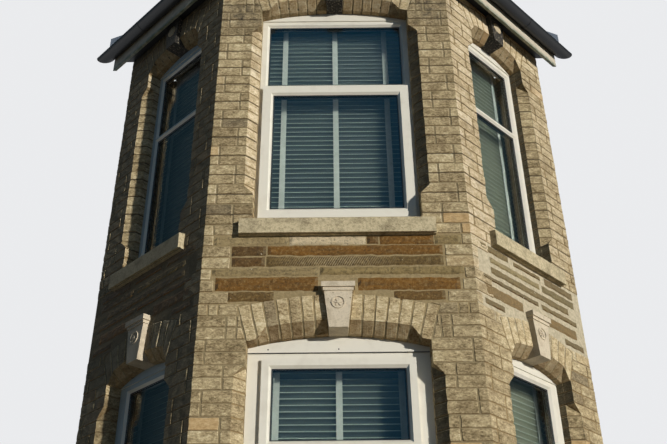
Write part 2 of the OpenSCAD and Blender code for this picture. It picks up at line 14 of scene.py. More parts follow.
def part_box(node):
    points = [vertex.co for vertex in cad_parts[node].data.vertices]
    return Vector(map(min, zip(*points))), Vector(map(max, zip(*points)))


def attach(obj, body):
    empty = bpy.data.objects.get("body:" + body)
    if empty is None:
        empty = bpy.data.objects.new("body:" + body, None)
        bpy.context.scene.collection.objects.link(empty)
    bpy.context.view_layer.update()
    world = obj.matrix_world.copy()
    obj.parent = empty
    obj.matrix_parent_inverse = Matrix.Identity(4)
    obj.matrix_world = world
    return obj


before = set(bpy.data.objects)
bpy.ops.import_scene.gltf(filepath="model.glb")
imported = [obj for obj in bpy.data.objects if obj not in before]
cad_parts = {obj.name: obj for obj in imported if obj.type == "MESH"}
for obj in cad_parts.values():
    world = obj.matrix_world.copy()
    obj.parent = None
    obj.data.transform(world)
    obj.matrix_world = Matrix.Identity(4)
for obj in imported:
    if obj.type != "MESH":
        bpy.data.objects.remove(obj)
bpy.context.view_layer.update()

MM = 0.001
# Seed of the noise that wears the bricks.
WEAR_SEED = 5
log = logging.getLogger("bay")

Point = tuple[float, float]
Triple = tuple[float, float, float]
Stops = tuple[tuple[float, str], ...]
Ring = list[Vector]
Socket = bpy.types.NodeSocket
At = Callable[[float, float, float], Vector]
End = Callable[[float], float]


def linear(hex_colour: str) -> tuple[float, float, float, float]:
    """Turns an sRGB hex colour into the linear colour that a shader takes.

    Args:
        hex_colour: six hex digits after a hash.

    Returns:
        Red, green, blue and alpha 1, linear.
    """
    parts = [int(hex_colour[i:i + 2], 16) / 255 for i in (1, 3, 5)]
    return (*[c / 12.92 if c <= 0.04045 else ((c + 0.055) / 1.055) ** 2.4 for c in parts], 1.0)


def add(tree: bpy.types.NodeTree, kind: str, inputs: dict | None = None, out: int | str = 0,
        **settings: object) -> Socket:
    """Adds one node with its settings and links.

    Args:
        tree: node tree that takes it.
        kind: class name of the node after its first word, ShaderNode.
        inputs: for each input, by name or number, the value or hex colour to set or the socket to link.
        out: name or number of the output that is wanted.
        settings: attributes of the node.

    Returns:
        That output.
    """
    node = tree.nodes.new(f"ShaderNode{kind}")
    for name, value in settings.items():
        setattr(node, name, value)
    for key, value in (inputs or {}).items():
        if isinstance(value, Socket):
            tree.links.new(value, node.inputs[key])
        else:
            node.inputs[key].default_value = linear(value) if isinstance(value, str) else value
    return node.outputs[out]


class Side(Enum):
    """Faces of the bay as seen from the street."""

    LEFT = -1
    FRONT = 0
    RIGHT = 1


@dataclass(frozen=True)
class Storey:
    """Levels of one row of windows."""

    name: str
    sill: float
    spring: float
    light_low: float
    light_high: float


@dataclass(frozen=True)
class Bay:
    """Driving sizes of the bay, in metres, with its plan taken from the frame."""

    front_y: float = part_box("ground_wall_front")[0].y
    half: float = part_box("ground_wall_front")[1].x
    back_y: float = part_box("ground_wall_left")[1].y
    wall: float = 0.250
    chamfer: float = 0.065
    stop_low: float = 0.220
    stop_high: float = 0.150
    front_open: float = 0.560
    side_open: float = 0.340
    front_rise: float = 0.075
    side_rise: float = 0.060
    ring: float = 0.240
    arch_run: float = 0.8
    recess: float = 0.112
    frame_t: float = 0.070
    frame_gap: float = 0.004
    plinth_top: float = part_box("plinth")[1].z
    course: float = 0.080
    band_foot: float = 3.796
    upper_line: float = 4.290
    wall_top: float = 6.610
    seat: float = 0.026
    bed: float = 0.007
    joint: float = 0.011
    ground: Storey = Storey("ground", 1.400, 3.545, 2.935, 3.512)
    upper: Storey = Storey("upper", 4.390, 6.300, 5.665, 6.296)

    @property
    def proj(self) -> float:
        """How far the front stands in front of the house wall."""
        return self.back_y - self.front_y

    @property
    def side_w(self) -> float:
        """Width of a canted face."""
        return self.proj * math.sqrt(2)

    def place(self, side: Side, t: float, d: float, z: float) -> Vector:
        """Point of a face.

        Args:
            side: which face.
            t: distance along it from its middle, to the right as seen from the street.
            d: depth into the wall.
            z: height.

        Returns:
            The point in the row frame.
        """
        if side is Side.FRONT:
            return Vector((t, self.front_y + d, z))
        c = math.sqrt(0.5)
        m = side.value
        x = m * (self.half + self.proj / 2) + c * (t - m * d)
        return Vector((x, self.front_y + self.proj / 2 + c * (m * t + d), z))

    def opening(self, side: Side) -> float:
        """Half the width of an opening between its square jambs."""
        return self.front_open if side is Side.FRONT else self.side_open

    def rise(self, side: Side) -> float:
        """Rise of an arch over its springing."""
        return self.front_rise if side is Side.FRONT else self.side_rise

    def radius(self, side: Side) -> float:
        """Radius of the lower edge of an arch."""
        rise = self.rise(side)
        return (self.opening(side) ** 2 + rise ** 2) / (2 * rise)

    def centre(self, side: Side, spring: float) -> float:
        """Height of the centre of an arch."""
        return spring + self.rise(side) - self.radius(side)

    def masonry_edge(self, side: Side, spring: float, z: float) -> float:
        """Half the width left free of wall bricks at a height, by the jambs or by the arch.

        Args:
            side: face of the bay.
            spring: height of the springing.
            z: height.

        Returns:
            Distance from the middle of the opening.
        """
        hw = self.opening(side)
        if z <= spring:
            return hw
        zc = self.centre(side, spring)
        outer = self.radius(side) + self.ring
        skew = hw * (z - zc) / (spring - zc)
        if math.hypot(skew, z - zc) < outer:
            return skew
        return math.sqrt(max(outer ** 2 - (z - zc) ** 2, 0.0))

    def stop_reach(self, storey: Storey, z: float) -> float:
        """How far the chamfer of the jambs reaches from the square arris at a height.

        Args:
            storey: storey of the window.
            z: height.

        Returns:
            The reach, which dies away to a millimetre at the stops.
        """
        low = z - storey.sill - self.stop_low
        high = storey.spring - self.stop_high - z
        return max(0.001, min(self.chamfer, low, high))


BAY = Bay()
# Half the width of a keystone's foot, and how much it widens for each metre up.
KEY_BOTTOM = 0.059
KEY_SPREAD = 0.029 / 0.246


class Mesher:
    """Gathers the closed solids of one piece, with a tone for each of its bricks or stones."""

    def __init__(self) -> None:
        """Starts empty."""
        self.points: list[Vector] = []
        self.faces: list[Sequence[int]] = []
        self.tones: list[float] = []

    def loft(self, rings: Sequence[Ring], tone: float = 0.5, strips: dict[int, float] | None = None,
             hoop: bool = False) -> None:
        """Adds a solid through rings of as many points each, closed at both ends or into a hoop.

        Args:
            rings: rings of points in order.
            tone: value for the finish, 0 to 1.
            strips: other values for the strips of faces that start at these points of the rings.
            hoop: joins the last ring to the first instead of closing both.
        """
        base, n = len(self.points), len(rings[0])
        for ring in rings:
            self.points.extend(ring)
        for r in range(len(rings) - (0 if hoop else 1)):
            low, high = base + r * n, base + (r + 1) % len(rings) * n
            for i in range(n):
                j = (i + 1) % n
                self.faces.append((low + i, low + j, high + j, high + i))
                self.tones.append((strips or {}).get(i, tone))
        if not hoop:
            last = base + (len(rings) - 1) * n
            self.faces += [tuple(range(base + n - 1, base - 1, -1)), tuple(range(last, last + n))]
            self.tones += [tone, tone]

    def bar(self, side: Side, section: Sequence[Point], ends: Point, tone: float = 0.5,
            strips: dict[int, float] | None = None) -> None:
        """Adds a straight bar along a face.

        Args:
            side: face of the bay.
            section: its points (depth, height).
            ends: its two ends along the face.
            tone: value for the finish, 0 to 1.
            strips: other values for the strips of faces that start at these points.
        """
        self.loft([[BAY.place(side, t, d, z) for d, z in section] for t in ends], tone, strips)

    def piece(self, name: str, finish: bpy.types.Material, slot: str) -> None:
        """Makes the object, which rides on the bay.

        Args:
            name: name of the piece.
            finish: its material.
            slot: not used.
        """
        mesh = bpy.data.meshes.new(name)
        mesh.from_pydata([p[:] for p in self.points], [], self.faces)
        tone = mesh.attributes.new("tone", "FLOAT", "FACE")
        tone.data.foreach_set("value", self.tones)
        mesh.materials.append(finish)
        bpy.context.view_layer.update()
        obj = bpy.data.objects.new(name, mesh)
        bpy.context.scene.collection.objects.link(obj)
        outward(obj)
        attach(obj, "root")
        log.info("%s: %d faces", name, len(mesh.polygons))


def outward(obj: bpy.types.Object) -> None:
    """Turns all faces of a piece outwards.

    Args:
        obj: the piece.
    """
    bm = bmesh.new()
    bm.from_mesh(obj.data)
    bmesh.ops.recalc_face_normals(bm, faces=bm.faces)
    bm.to_mesh(obj.data)
    bm.free()


@dataclass(frozen=True)
class Brick:
    """How a brick or stone stands in its mortar."""

    proud: float = 3.5 * MM
    bevel: float = 3.0 * MM
    embed: float = 20 * MM
    wear: float = 3.2 * MM
    wave: float = 0.038
    step: float = 0.045

    def worn(self, point: Vector) -> Vector:
        """Moves a point as weather has worn the brick, never past the house wall.

        Args:
            point: where it was on the new brick.

        Returns:
            Where it is now.
        """
        moved = point + noise.noise_vector(point / self.wave) * self.wear
        moved.y = min(moved.y, BAY.back_y)
        return moved

    def tone(self, chance: random.Random) -> float:
        """Tone of the next brick, seldom very dark or pale."""
        return chance.betavariate(2.2, 2.2)

    def shares(self, outline: Sequence[Point]) -> list[int]:
        """Numbers of steps for the edges of an outline, more than one on its long edges near the face.

        Args:
            outline: points (along, depth) of the outline.

        Returns:
            Steps of the edge after each point.
        """
        counts = []
        for (a0, d0), (a1, d1) in zip(outline, [*outline[1:], outline[0]]):
            near = max(d0, d1) < self.embed
            counts.append(max(1, round(math.hypot(a1 - a0, d1 - d0) / self.step)) if near else 1)
        return counts


def stepped(outline: Sequence[Point], counts: Sequence[int]) -> list[Point]:
    """Divides the edges of an outline.

    Args:
        outline: points of the outline.
        counts: steps of the edge after each point.

    Returns:
        The outline with the points in between.
    """
    points: list[Point] = []
    for (a0, d0), (a1, d1), count in zip(outline, [*outline[1:], outline[0]], counts):
        points += [(a0 + (a1 - a0) * k / count, d0 + (d1 - d0) * k / count) for k in range(count)]
    return points


def outwards(side: Side, way: int) -> At:
    """Gives the function that turns (distance, depth, height) into a point of a face.

    Args:
        side: face of the bay.
        way: 1 to measure to the right of its middle, -1 to the left.

    Returns:
        The function.
    """
    return lambda a, d, z: BAY.place(side, way * a, d, z)


def arris(reach: float, chamfer: float, proud: float) -> list[Point]:
    """Chamfered arris of a jamb or arch, raised square to its faces.

    Args:
        reach: how far the chamfer reaches from the square arris.
        chamfer: full width of the chamfer.
        proud: height over the mortar.

    Returns:
        Three points (distance from the square arris, depth), from the reveal to the face.
    """
    shift = proud * (math.sqrt(2) - 1)
    return [(-proud, chamfer - shift), (reach - proud, chamfer - reach - shift), (reach - proud, -proud)]


@dataclass
class Walling:
    """Bricks of one storey on all three faces, laid in pairs of like courses."""

    finish: bpy.types.Material
    storey: Storey
    low: float
    high: float
    first_line: float
    seed: int
    brick: Brick = field(default_factory=Brick)
    jamb_depth: float = 0.130
    long_end: float = 0.174
    short_end: float = 0.057
    stretcher: float = 0.2345
    header: float = 0.06
    half_brick: float = 0.1
    least: float = 14 * MM
    front_joints: tuple[float, float] = (0.16, 0.395)
    closer: float = 0.0645
    side_joint: float = 0.235

    def __post_init__(self) -> None:
        """Seeds the small differences between bricks."""
        self.chance = random.Random(self.seed)
        self.mesh = Mesher()

    def levels(self, z0: float, z1: float, breaks: Sequence[float] = ()) -> list[tuple[float, float]]:
        """Heights of a brick's rings with how proud each is.

        Args:
            z0: underside.
            z1: top.
            breaks: heights in between where the outline bends.

        Returns:
            Pairs of height and proudness.
        """
        b = self.brick
        inner = [z for z in (*breaks, (z0 + z1) / 2) if z0 + b.bevel < z < z1 - b.bevel]
        edge = b.proud - b.bevel
        return [(z0, edge), (z0 + b.bevel, b.proud), *[(z, b.proud) for z in sorted(set(inner))],
                (z1 - b.bevel, b.proud), (z1, edge)]

    def lay(self, outline: Callable[[float, float], list[Point]], at: At, z0: float, z1: float,
            breaks: Sequence[float] = ()) -> None:
        """Lays one brick.

        Args:
            outline: gives the plan outline (along, depth) at a height and proudness.
            at: turns (along, depth, height) into a point.
            z0: underside.
            z1: top.
            breaks: heights where the outline bends.
        """
        lift, out = self.chance.uniform(-1.0, 1.0) * MM, self.chance.uniform(-1.0, 1.5) * MM
        counts = self.brick.shares(outline((z0 + z1) / 2, self.brick.proud))
        rings = []
        for z, p in self.levels(z0, z1, breaks):
            points = stepped(outline(z, p + out), counts)
            rings.append([self.brick.worn(at(a, d, z + lift)) for a, d in points])
        self.mesh.loft(rings, self.brick.tone(self.chance))

    def flat(self, a0: End, a1: End, at: At, z0: float, z1: float, breaks: Sequence[float] = (),
             skew: float = 0.0) -> None:
        """Lays a brick that shows only its face.

        Args:
            a0: its first end at a height.
            a1: its second end at a height.
            at: turns (along, depth, height) into a point.
            z0: underside.
            z1: top.
            breaks: heights where an end bends.
            skew: 1 where the second end lies against the house wall.
        """
        b = self.brick

        def outline(z: float, p: float) -> list[Point]:
            """Plan outline of the brick."""
            x0, x1 = a0(z), a1(z)
            return [(x0, -p + b.bevel), (x0 + b.bevel, -p), (x1 - b.bevel, -p), (x1, -p + b.bevel),
                    (x1 - skew * b.embed, b.embed), (x0, b.embed)]
        self.lay(outline, at, z0, z1, breaks)

    def jamb(self, hw: float, face_end: float, at: At, z0: float, z1: float) -> None:
        """Lays a brick that turns from the face through the chamfer into the reveal.

        Args:
            hw: place of the square arris.
            face_end: end of the brick on the face.
            at: turns (along, depth, height) into a point.
            z0: underside.
            z1: top.
        """
        b, c, s = self.brick, BAY.chamfer, self.storey
        low, high = s.sill + BAY.stop_low, s.spring - BAY.stop_high

        def outline(z: float, p: float) -> list[Point]:
            """Plan outline of the brick.

            Args:
                z: height.
                p: how proud the brick stands.

            Returns:
                Points (along, depth).
            """
            edge = [(hw + a, d) for a, d in arris(BAY.stop_reach(s, z), c, p)]
            return [(hw - p, self.jamb_depth), *edge, (face_end - b.bevel, -p), (face_end, -p + b.bevel),
                    (face_end, b.embed), (hw + c + 0.6 * b.embed, b.embed), (hw + b.embed, c + 0.6 * b.embed),
                    (hw + b.embed, self.jamb_depth)]
        self.lay(outline, at, z0, z1, (low, low + c, high - c, high))

    def corner(self, mirror: int, on_front: float, on_cant: float, z0: float, z1: float) -> None:
        """Lays the brick that turns the corner of the bay.

        Args:
            mirror: 1 on the right, -1 on the left.
            on_front: its length on the front.
            on_cant: its length on the canted face.
            z0: underside.
            z1: top.
        """
        b, half, turn = self.brick, BAY.half, math.tan(math.radians(22.5))

        def outline(z: float, p: float) -> list[Point]:
            """Plan outline as (distance past the corner, depth), negative on the front."""
            return [(-on_front, -p + b.bevel), (-on_front + b.bevel, -p), (0.0, -p), (on_cant - b.bevel, -p),
                    (on_cant, -p + b.bevel), (on_cant, b.embed), (0.0, b.embed), (-on_front, b.embed)]

        def at(a: float, d: float, z: float) -> Vector:
            """Turns the outline round the corner.

            Args:
                a: distance past the corner, negative on the front.
                d: depth.
                z: height.

            Returns:
                The point.
            """
            if a < 0:
                return Vector((mirror * (half + a), BAY.front_y + d, z))
            if a == 0:
                return Vector((mirror * (half - d * turn), BAY.front_y + d, z))
            c = math.sqrt(0.5)
            return Vector((mirror * (half + c * (a - d)), BAY.front_y + c * (a + d), z))
        self.lay(outline, at, z0, z1)

    def ends(self, index: int) -> tuple[float, float]:
        """Lengths of the corner brick on the front and on the cant in a course."""
        paired = ((index - 1) // 2) % 2 == 0
        return (self.long_end, self.short_end) if paired else (self.short_end, self.long_end)

    def clipped(self, side: Side, a0: float, a1: float, at: At, z0: float, z1: float,
                skew: float = 0.0) -> None:
        """Lays a face brick, cut where it meets the arch.

        Args:
            side: face of the bay, for its arch.
            a0: its end towards the arch.
            a1: its other end.
            at: turns (along, depth, height) into a point.
            z0: underside.
            z1: top.
            skew: 1 where the second end lies against the house wall.
        """
        gap, least = BAY.joint / 2, self.least

        def edge(z: float) -> float:
            """Place of the arch or jamb at a height."""
            return BAY.masonry_edge(side, self.storey.spring, z) + gap
        steps = [z0 + (z1 - z0) * k / 8 for k in range(9)]
        free = [z for z in steps if edge(z) < a1 - least]
        if not free or z1 - free[0] < least:
            return
        self.flat(lambda z: max(a0, min(edge(z), a1 - least)), lambda z: a1, at, free[0], z1, steps, skew)

    def row(self, start: float, end: float, first: float) -> list[tuple[float, float]]:
        """Divides a length into bricks.

        Args:
            start: first joint.
            end: last joint.
            first: length of the first brick.

        Returns:
            Their intervals between joints, the last ones no shorter than a header.
        """
        marks = [start]
        step = first
        while marks[-1] + step < end - self.header:
            marks.append(marks[-1] + step)
            step = self.stretcher
        marks.append(end)
        return list(zip(marks, marks[1:]))

    def plain(self, m: int, on_front: float, on_cant: float, z0: float, z1: float) -> None:
        """Lays a course under the windows between one corner and the middle of the front and the house wall.

        Args:
            m: 1 on the right, -1 on the left.
            on_front: length of the corner brick on the front.
            on_cant: its length on the canted face.
            z0: underside.
            z1: top.
        """
        gap, s, side = BAY.joint / 2, BAY.side_w, Side(m)
        front = outwards(Side.FRONT, m)
        for a0, a1 in self.row(on_front, BAY.half, self.first(on_front)):
            self.flat(lambda z: BAY.half - a1 + gap, lambda z: BAY.half - a0 - gap, front, z0, z1)
        for a0, a1 in self.row(on_cant, s, self.first(on_cant)):
            last = a1 == s
            self.flat(lambda z: a0 + gap, lambda z: a1 - (0.0 if last else gap),
                      lambda a, d, z: BAY.place(side, m * (a - s / 2), d, z), z0, z1, (), float(last))

    def first(self, end: float) -> float:
        """Length of the first brick beside an end of the corner brick."""
        return self.stretcher - end if end > self.half_brick else self.long_end

    def course(self, index: int, z0: float, z1: float) -> None:
        """Lays one course on all three faces.

        Args:
            index: number of the course, which sets its bond.
            z0: underside.
            z1: top.
        """
        gap, s = BAY.joint / 2, BAY.side_w
        on_front, on_cant = self.ends(index)
        z0, z1 = z0 + BAY.bed / 2, z1 - BAY.bed / 2
        arched = (z0 + z1) / 2 > self.storey.spring
        front_end, near_end = BAY.half - on_front, s / 2 - on_cant
        far_end = self.short_end if on_cant > self.half_brick else self.long_end
        house_joint = BAY.side_open + BAY.chamfer + far_end
        for m in (1, -1):
            side = Side(m)
            self.corner(m, on_front - gap, on_cant - gap, z0, z1)
            if z1 <= self.storey.sill:
                self.plain(m, on_front, on_cant, z0, z1)
                continue
            runs = ((Side.FRONT, m, front_end), (side, -m, near_end), (side, m, house_joint))
            for face, way, end in runs:
                at = outwards(face, way)
                if not arched:
                    self.jamb(BAY.opening(face), end - gap, at, z0, z1)
                    continue
                marks = (0.0, self.side_joint, end)
                if face is Side.FRONT:
                    marks = (0.0, *self.front_joints, end - self.closer, end)
                for a0, a1 in zip(marks, marks[1:]):
                    self.clipped(face, a0 + gap, a1 - gap, at, z0, z1)
            self.clipped(side, house_joint + gap, s / 2, outwards(side, m), z0, z1, 1.0)

    def build(self) -> None:
        """Lays all courses of the storey."""
        for k in range(round((self.high - self.low) / BAY.course)):
            z0 = self.low + k * BAY.course
            self.course(round((z0 - self.first_line) / BAY.course), z0, z0 + BAY.course)
        self.mesh.piece(f"{self.storey.name}_bricks", self.finish, "buff_brick")


@dataclass
class Arches:
    """Voussoirs of the arches of one storey."""

    finish: bpy.types.Material
    storey: Storey
    seed: int
    brick: Brick = field(default_factory=Brick)
    front_count: int = 7
    side_count: int = 4
    soffit_depth: float = 0.130

    def __post_init__(self) -> None:
        """Seeds the small differences between voussoirs."""
        self.chance = random.Random(self.seed)
        self.mesh = Mesher()

    def key_edge(self, rho: float, zc: float, foot: float) -> float:
        """Angle from upright at which the keystone's side crosses a radius.

        Args:
            rho: the radius.
            zc: height of the arch's centre.
            foot: height of the crown.

        Returns:
            The angle.
        """
        x = KEY_BOTTOM
        for _ in range(8):
            z = zc + math.sqrt(rho ** 2 - x ** 2)
            x = KEY_BOTTOM + (z - foot) * KEY_SPREAD
        return math.asin(x / rho)

    def reach(self, side: Side, theta: float, zc: float) -> float:
        """How far the chamfer reaches up from the lower edge at an angle.

        Args:
            side: face of the bay.
            theta: angle from upright.
            zc: height of the arch's centre.

        Returns:
            The reach, which dies away near the springing.
        """
        hw, c, r, rise = BAY.opening(side), BAY.chamfer, BAY.radius(side), BAY.rise(side)
        reach, steps = 1 * MM, 13
        for k in range(1, steps + 1):
            trial = c * k / steps
            x, z = (r + trial) * math.sin(theta), zc + (r + trial) * math.cos(theta)
            line = hw * BAY.arch_run + c - (z - self.storey.spring) * 2 * c / (rise + 2 * c)
            if x > line:
                break
            reach = trial
        return reach

    def section(self, r: float, reach: float, p: float) -> list[Point]:
        """Section of a voussoir.

        Args:
            r: radius of the lower edge.
            reach: how far the chamfer reaches.
            p: how proud the voussoir stands.

        Returns:
            Points (radius, depth).
        """
        b, c, top, inner = self.brick, BAY.chamfer, r + BAY.ring - BAY.joint / 2, self.soffit_depth
        edge = [(r + a, d) for a, d in arris(reach, c, p)]
        return [(top, b.embed), (top, -p + b.bevel), (top - b.bevel, -p), *reversed(edge), (r - p, inner),
                (r + b.embed, inner), (r + b.embed, c + 0.6 * b.embed), (r + c + 0.6 * b.embed, b.embed)]

    def build(self) -> None:
        """Lays the voussoirs of the three arches."""
        for side in Side:
            r, spring = BAY.radius(side), self.storey.spring
            zc = BAY.centre(side, spring)
            foot = spring + BAY.rise(side)
            end = math.asin(BAY.opening(side) / r)
            count = self.front_count if side is Side.FRONT else self.side_count
            mid = r + BAY.ring / 2
            for m in (1, -1):
                start = self.key_edge(mid, zc, foot)
                for k in range(count):
                    a0 = start + (end - start) * k / count
                    a1 = start + (end - start) * (k + 1) / count
                    gap = BAY.joint / 2 / mid
                    self.voussoir(side, m, (a0, a1), gap, zc, foot, k == 0)
        self.mesh.piece(f"{self.storey.name}_voussoirs", self.finish, "buff_brick")

    def voussoir(self, side: Side, m: int, span: Point, gap: float, zc: float, foot: float,
                 beside_key: bool) -> None:
        """Adds one voussoir.

        Args:
            side: face of the bay.
            m: 1 to the right of the keystone, -1 to the left.
            span: its two angles.
            gap: half a joint as an angle.
            zc: height of the arch's centre.
            foot: height of the crown.
            beside_key: whether its first end lies against the keystone.
        """
        b, r = self.brick, BAY.radius(side)
        out = self.chance.uniform(-0.8, 1.2) * MM
        size = span[1] - span[0]
        bevel = b.bevel / r / size
        stations = [(0.0, 0), (bevel, 1), (0.2, 1), (0.4, 1), (0.6, 1), (0.8, 1), (1 - bevel, 1), (1.0, 0)]
        counts = b.shares(self.section(r, self.reach(side, span[0], zc), b.proud))
        rings = []
        for share, full in stations:
            p = (b.proud if full else b.proud - b.bevel) + out
            theta = span[0] + gap + (size - 2 * gap) * share
            ring = []
            for rho, d in stepped(self.section(r, self.reach(side, theta, zc), p), counts):
                angle = theta
                if beside_key:
                    first = self.key_edge(rho, zc, foot) + gap
                    angle = first + (span[1] - gap - first) * share
                ring.append(b.worn(BAY.place(side, m * rho * math.sin(angle), d, zc + rho * math.cos(angle))))
            rings.append(ring)
        self.mesh.loft(rings, b.tone(self.chance))


class StoneTone(Enum):
    """Colours of the band's stones, as places on the ramp of their finish."""

    DARK = 0.05
    OCHRE = 0.25
    TOOLED = 0.45
    GREY = 0.65
    PINK = 0.85


@dataclass
class Band:
    """Split stones between the storeys, in six rows."""

    finish: bpy.types.Material
    seed: int = 41
    embed: float = 20 * MM
    proud: float = 6 * MM
    bevel: float = 5 * MM
    rough: float = 7 * MM
    step: float = 0.02
    wander: float = 0.05
    lumps: float = 0.028

    def stones(self, side: Side) -> list[tuple[float, float, float, float, StoneTone]]:
        """Stones of a face, as set by the mason.

        Args:
            side: face of the bay.

        Returns:
            For each stone its two ends along the face, underside, top and colour.
        """
        tone = StoneTone
        if side is Side.FRONT:
            return [
                (-0.794, -0.316, 4.212, 4.276, tone.GREY), (-0.308, 0.182, 4.214, 4.276, tone.PINK),
                (0.190, 0.262, 4.216, 4.274, tone.DARK), (0.272, 0.618, 4.212, 4.277, tone.OCHRE),
                (0.626, 0.794, 4.212, 4.276, tone.GREY),
                (-0.676, -0.457, 4.135, 4.205, tone.DARK), (-0.447, 0.671, 4.137, 4.206, tone.OCHRE),
                (-0.672, -0.463, 4.058, 4.124, tone.DARK), (-0.453, 0.671, 4.059, 4.125, tone.TOOLED),
                (-0.792, -0.124, 3.990, 4.047, tone.GREY), (-0.112, 0.794, 3.994, 4.047, tone.GREY),
                (-0.768, -0.125, 3.885, 3.978, tone.OCHRE), (0.125, 0.764, 3.884, 3.968, tone.OCHRE),
                (-0.690, -0.400, 3.812, 3.876, tone.TOOLED), (0.347, 0.665, 3.812, 3.874, tone.TOOLED)]
        flip = -1 if side is Side.LEFT else 1
        rows = [
            (-0.560, -0.235, 4.222, 4.270, tone.TOOLED), (-0.175, 0.140, 4.226, 4.256, tone.DARK),
            (0.195, 0.550, 4.216, 4.268, tone.DARK),
            (-0.450, 0.118, 4.148, 4.188, tone.GREY), (0.150, 0.550, 4.144, 4.196, tone.TOOLED),
            (-0.450, 0.462, 4.066, 4.116, tone.TOOLED),
            (-0.560, 0.075, 4.004, 4.036, tone.DARK), (0.110, 0.550, 4.000, 4.038, tone.TOOLED),
            (-0.540, -0.125, 3.892, 3.966, tone.OCHRE), (0.130, 0.525, 3.892, 3.962, tone.OCHRE),
            (-0.550, -0.345, 3.818, 3.858, tone.DARK), (0.355, 0.590, 3.818, 3.858, tone.DARK)]
        return [(min(flip * a, flip * b), max(flip * a, flip * b), z0, z1, c) for a, b, z0, z1, c in rows]

    def build(self) -> None:
        """Lays the stones of the three faces."""
        chance = random.Random(self.seed)
        for side in Side:
            mesh = Mesher()
            for a0, a1, z0, z1, tone in self.stones(side):
                self.stone(mesh, side, (a0, a1, z0, z1), tone.value + chance.uniform(-0.05, 0.05), chance)
            mesh.piece(f"band_stones_{side.name.lower()}", self.finish, "brown_sandstone")

    def stone(self, mesh: Mesher, side: Side, box: tuple[float, float, float, float], tone: float,
              chance: random.Random) -> None:
        """Adds one stone with a split face and worn edges.

        Args:
            mesh: gathers it.
            side: face of the bay.
            box: two ends, underside and top.
            tone: its colour.
            chance: differences of its face.
        """
        a0, a1, z0, z1 = box
        steps = max(3, round((a1 - a0) / self.step))
        rows = 5
        rings = []
        for i in range(steps + 1):
            a = a0 + (a1 - a0) * i / steps
            rim = i in (0, steps)
            drift = [self.rough * noise.noise(BAY.place(side, a, 0, z) / self.wander) for z in (z0, z1)]
            low, high = z0 + drift[0], z1 + drift[1]
            ring = [BAY.place(side, a, self.embed, low)]
            for j in range(rows + 1):
                edge = rim or j in (0, rows)
                z = low + (high - low) * j / rows
                relief = noise.noise(BAY.place(side, a, 0, z) / self.lumps) * 0.5 * self.rough
                out = self.proud - self.bevel
                if not edge:
                    out = self.proud + relief + chance.uniform(-1.0, 1.0) * MM
                ring.append(BAY.place(side, a, -out, z))
            ring.append(BAY.place(side, a, self.embed, high))
            rings.append(ring)
        mesh.loft(rings, tone)


@dataclass
class BandQuoins(Walling):
    """Bricks that turn the corners beside the band's stones, with the length of each row on the front."""

    fronts: tuple[float, ...] = (0.183, 0.085, 0.064, 0.178, 0.178, 0.064)

    def build(self) -> None:
        """Lays the six rows at both corners."""
        gap = BAY.joint / 2
        pitch = (self.high - self.low) / len(self.fronts)
        for k, on_front in enumerate(self.fronts):
            z0 = self.low + k * pitch + BAY.bed / 2
            on_cant = self.long_end if on_front < self.half_brick else self.short_end
            for m in (1, -1):
                self.corner(m, on_front - gap, on_cant, z0, z0 + pitch - BAY.bed)
        self.mesh.piece("band_quoins", self.finish, "buff_brick")


class Pattern:
    """A value or colour that changes over a surface."""

    def draw(self, sheet: "Sheet") -> Socket:
        """Adds the pattern's nodes to a sheet and gives their result."""
        raise NotImplementedError


@dataclass
class Sheet:
    """Node tree of a finish, on which each pattern is drawn only once."""

    tree: bpy.types.NodeTree
    drawn: dict[Pattern, Socket] = field(default_factory=dict)

    def value(self, pattern: Pattern) -> Socket:
        """Result of a pattern.

        Args:
            pattern: what is wanted.

        Returns:
            Its socket, the same one each time.
        """
        if pattern not in self.drawn:
            self.drawn[pattern] = pattern.draw(self)
        return self.drawn[pattern]


@dataclass(frozen=True)
class Place(Pattern):
    """Place on the bay in metres."""

    def draw(self, sheet: Sheet) -> Socket:
        """Takes it from the object."""
        return add(sheet.tree, "TexCoord", out="Object")


@dataclass(frozen=True)
class Tone(Pattern):
    """Tone that each brick, stone or slat got when it was laid."""

    def draw(self, sheet: Sheet) -> Socket:
        """Takes it from the faces."""
        return add(sheet.tree, "Attribute", out="Fac", attribute_name="tone")


@dataclass(frozen=True)
class Along(Pattern):
    """Distance along a way in metres, up unless said otherwise."""

    way: Triple = (0.0, 0.0, 1.0)

    def draw(self, sheet: Sheet) -> Socket:
        """Measures the place along the way."""
        inputs = {0: sheet.value(Place()), 1: self.way}
        return add(sheet.tree, "VectorMath", inputs, "Value", operation="DOT_PRODUCT")


@dataclass(frozen=True)
class Facing(Pattern):
    """How squarely the surface faces a way."""

    way: Triple

    def draw(self, sheet: Sheet) -> Socket:
        """Measures the surface's normal along the way."""
        normal = add(sheet.tree, "NewGeometry", out="True Normal")
        return add(sheet.tree, "VectorMath", {0: normal, 1: self.way}, "Value", operation="DOT_PRODUCT")


@dataclass(frozen=True)
class Away(Pattern):
    """Distance in metres from a place of the bay."""

    centre: Triple

    def draw(self, sheet: Sheet) -> Socket:
        """Measures it."""
        inputs = {0: sheet.value(Place()), 1: self.centre}
        return add(sheet.tree, "VectorMath", inputs, "Value", operation="DISTANCE")


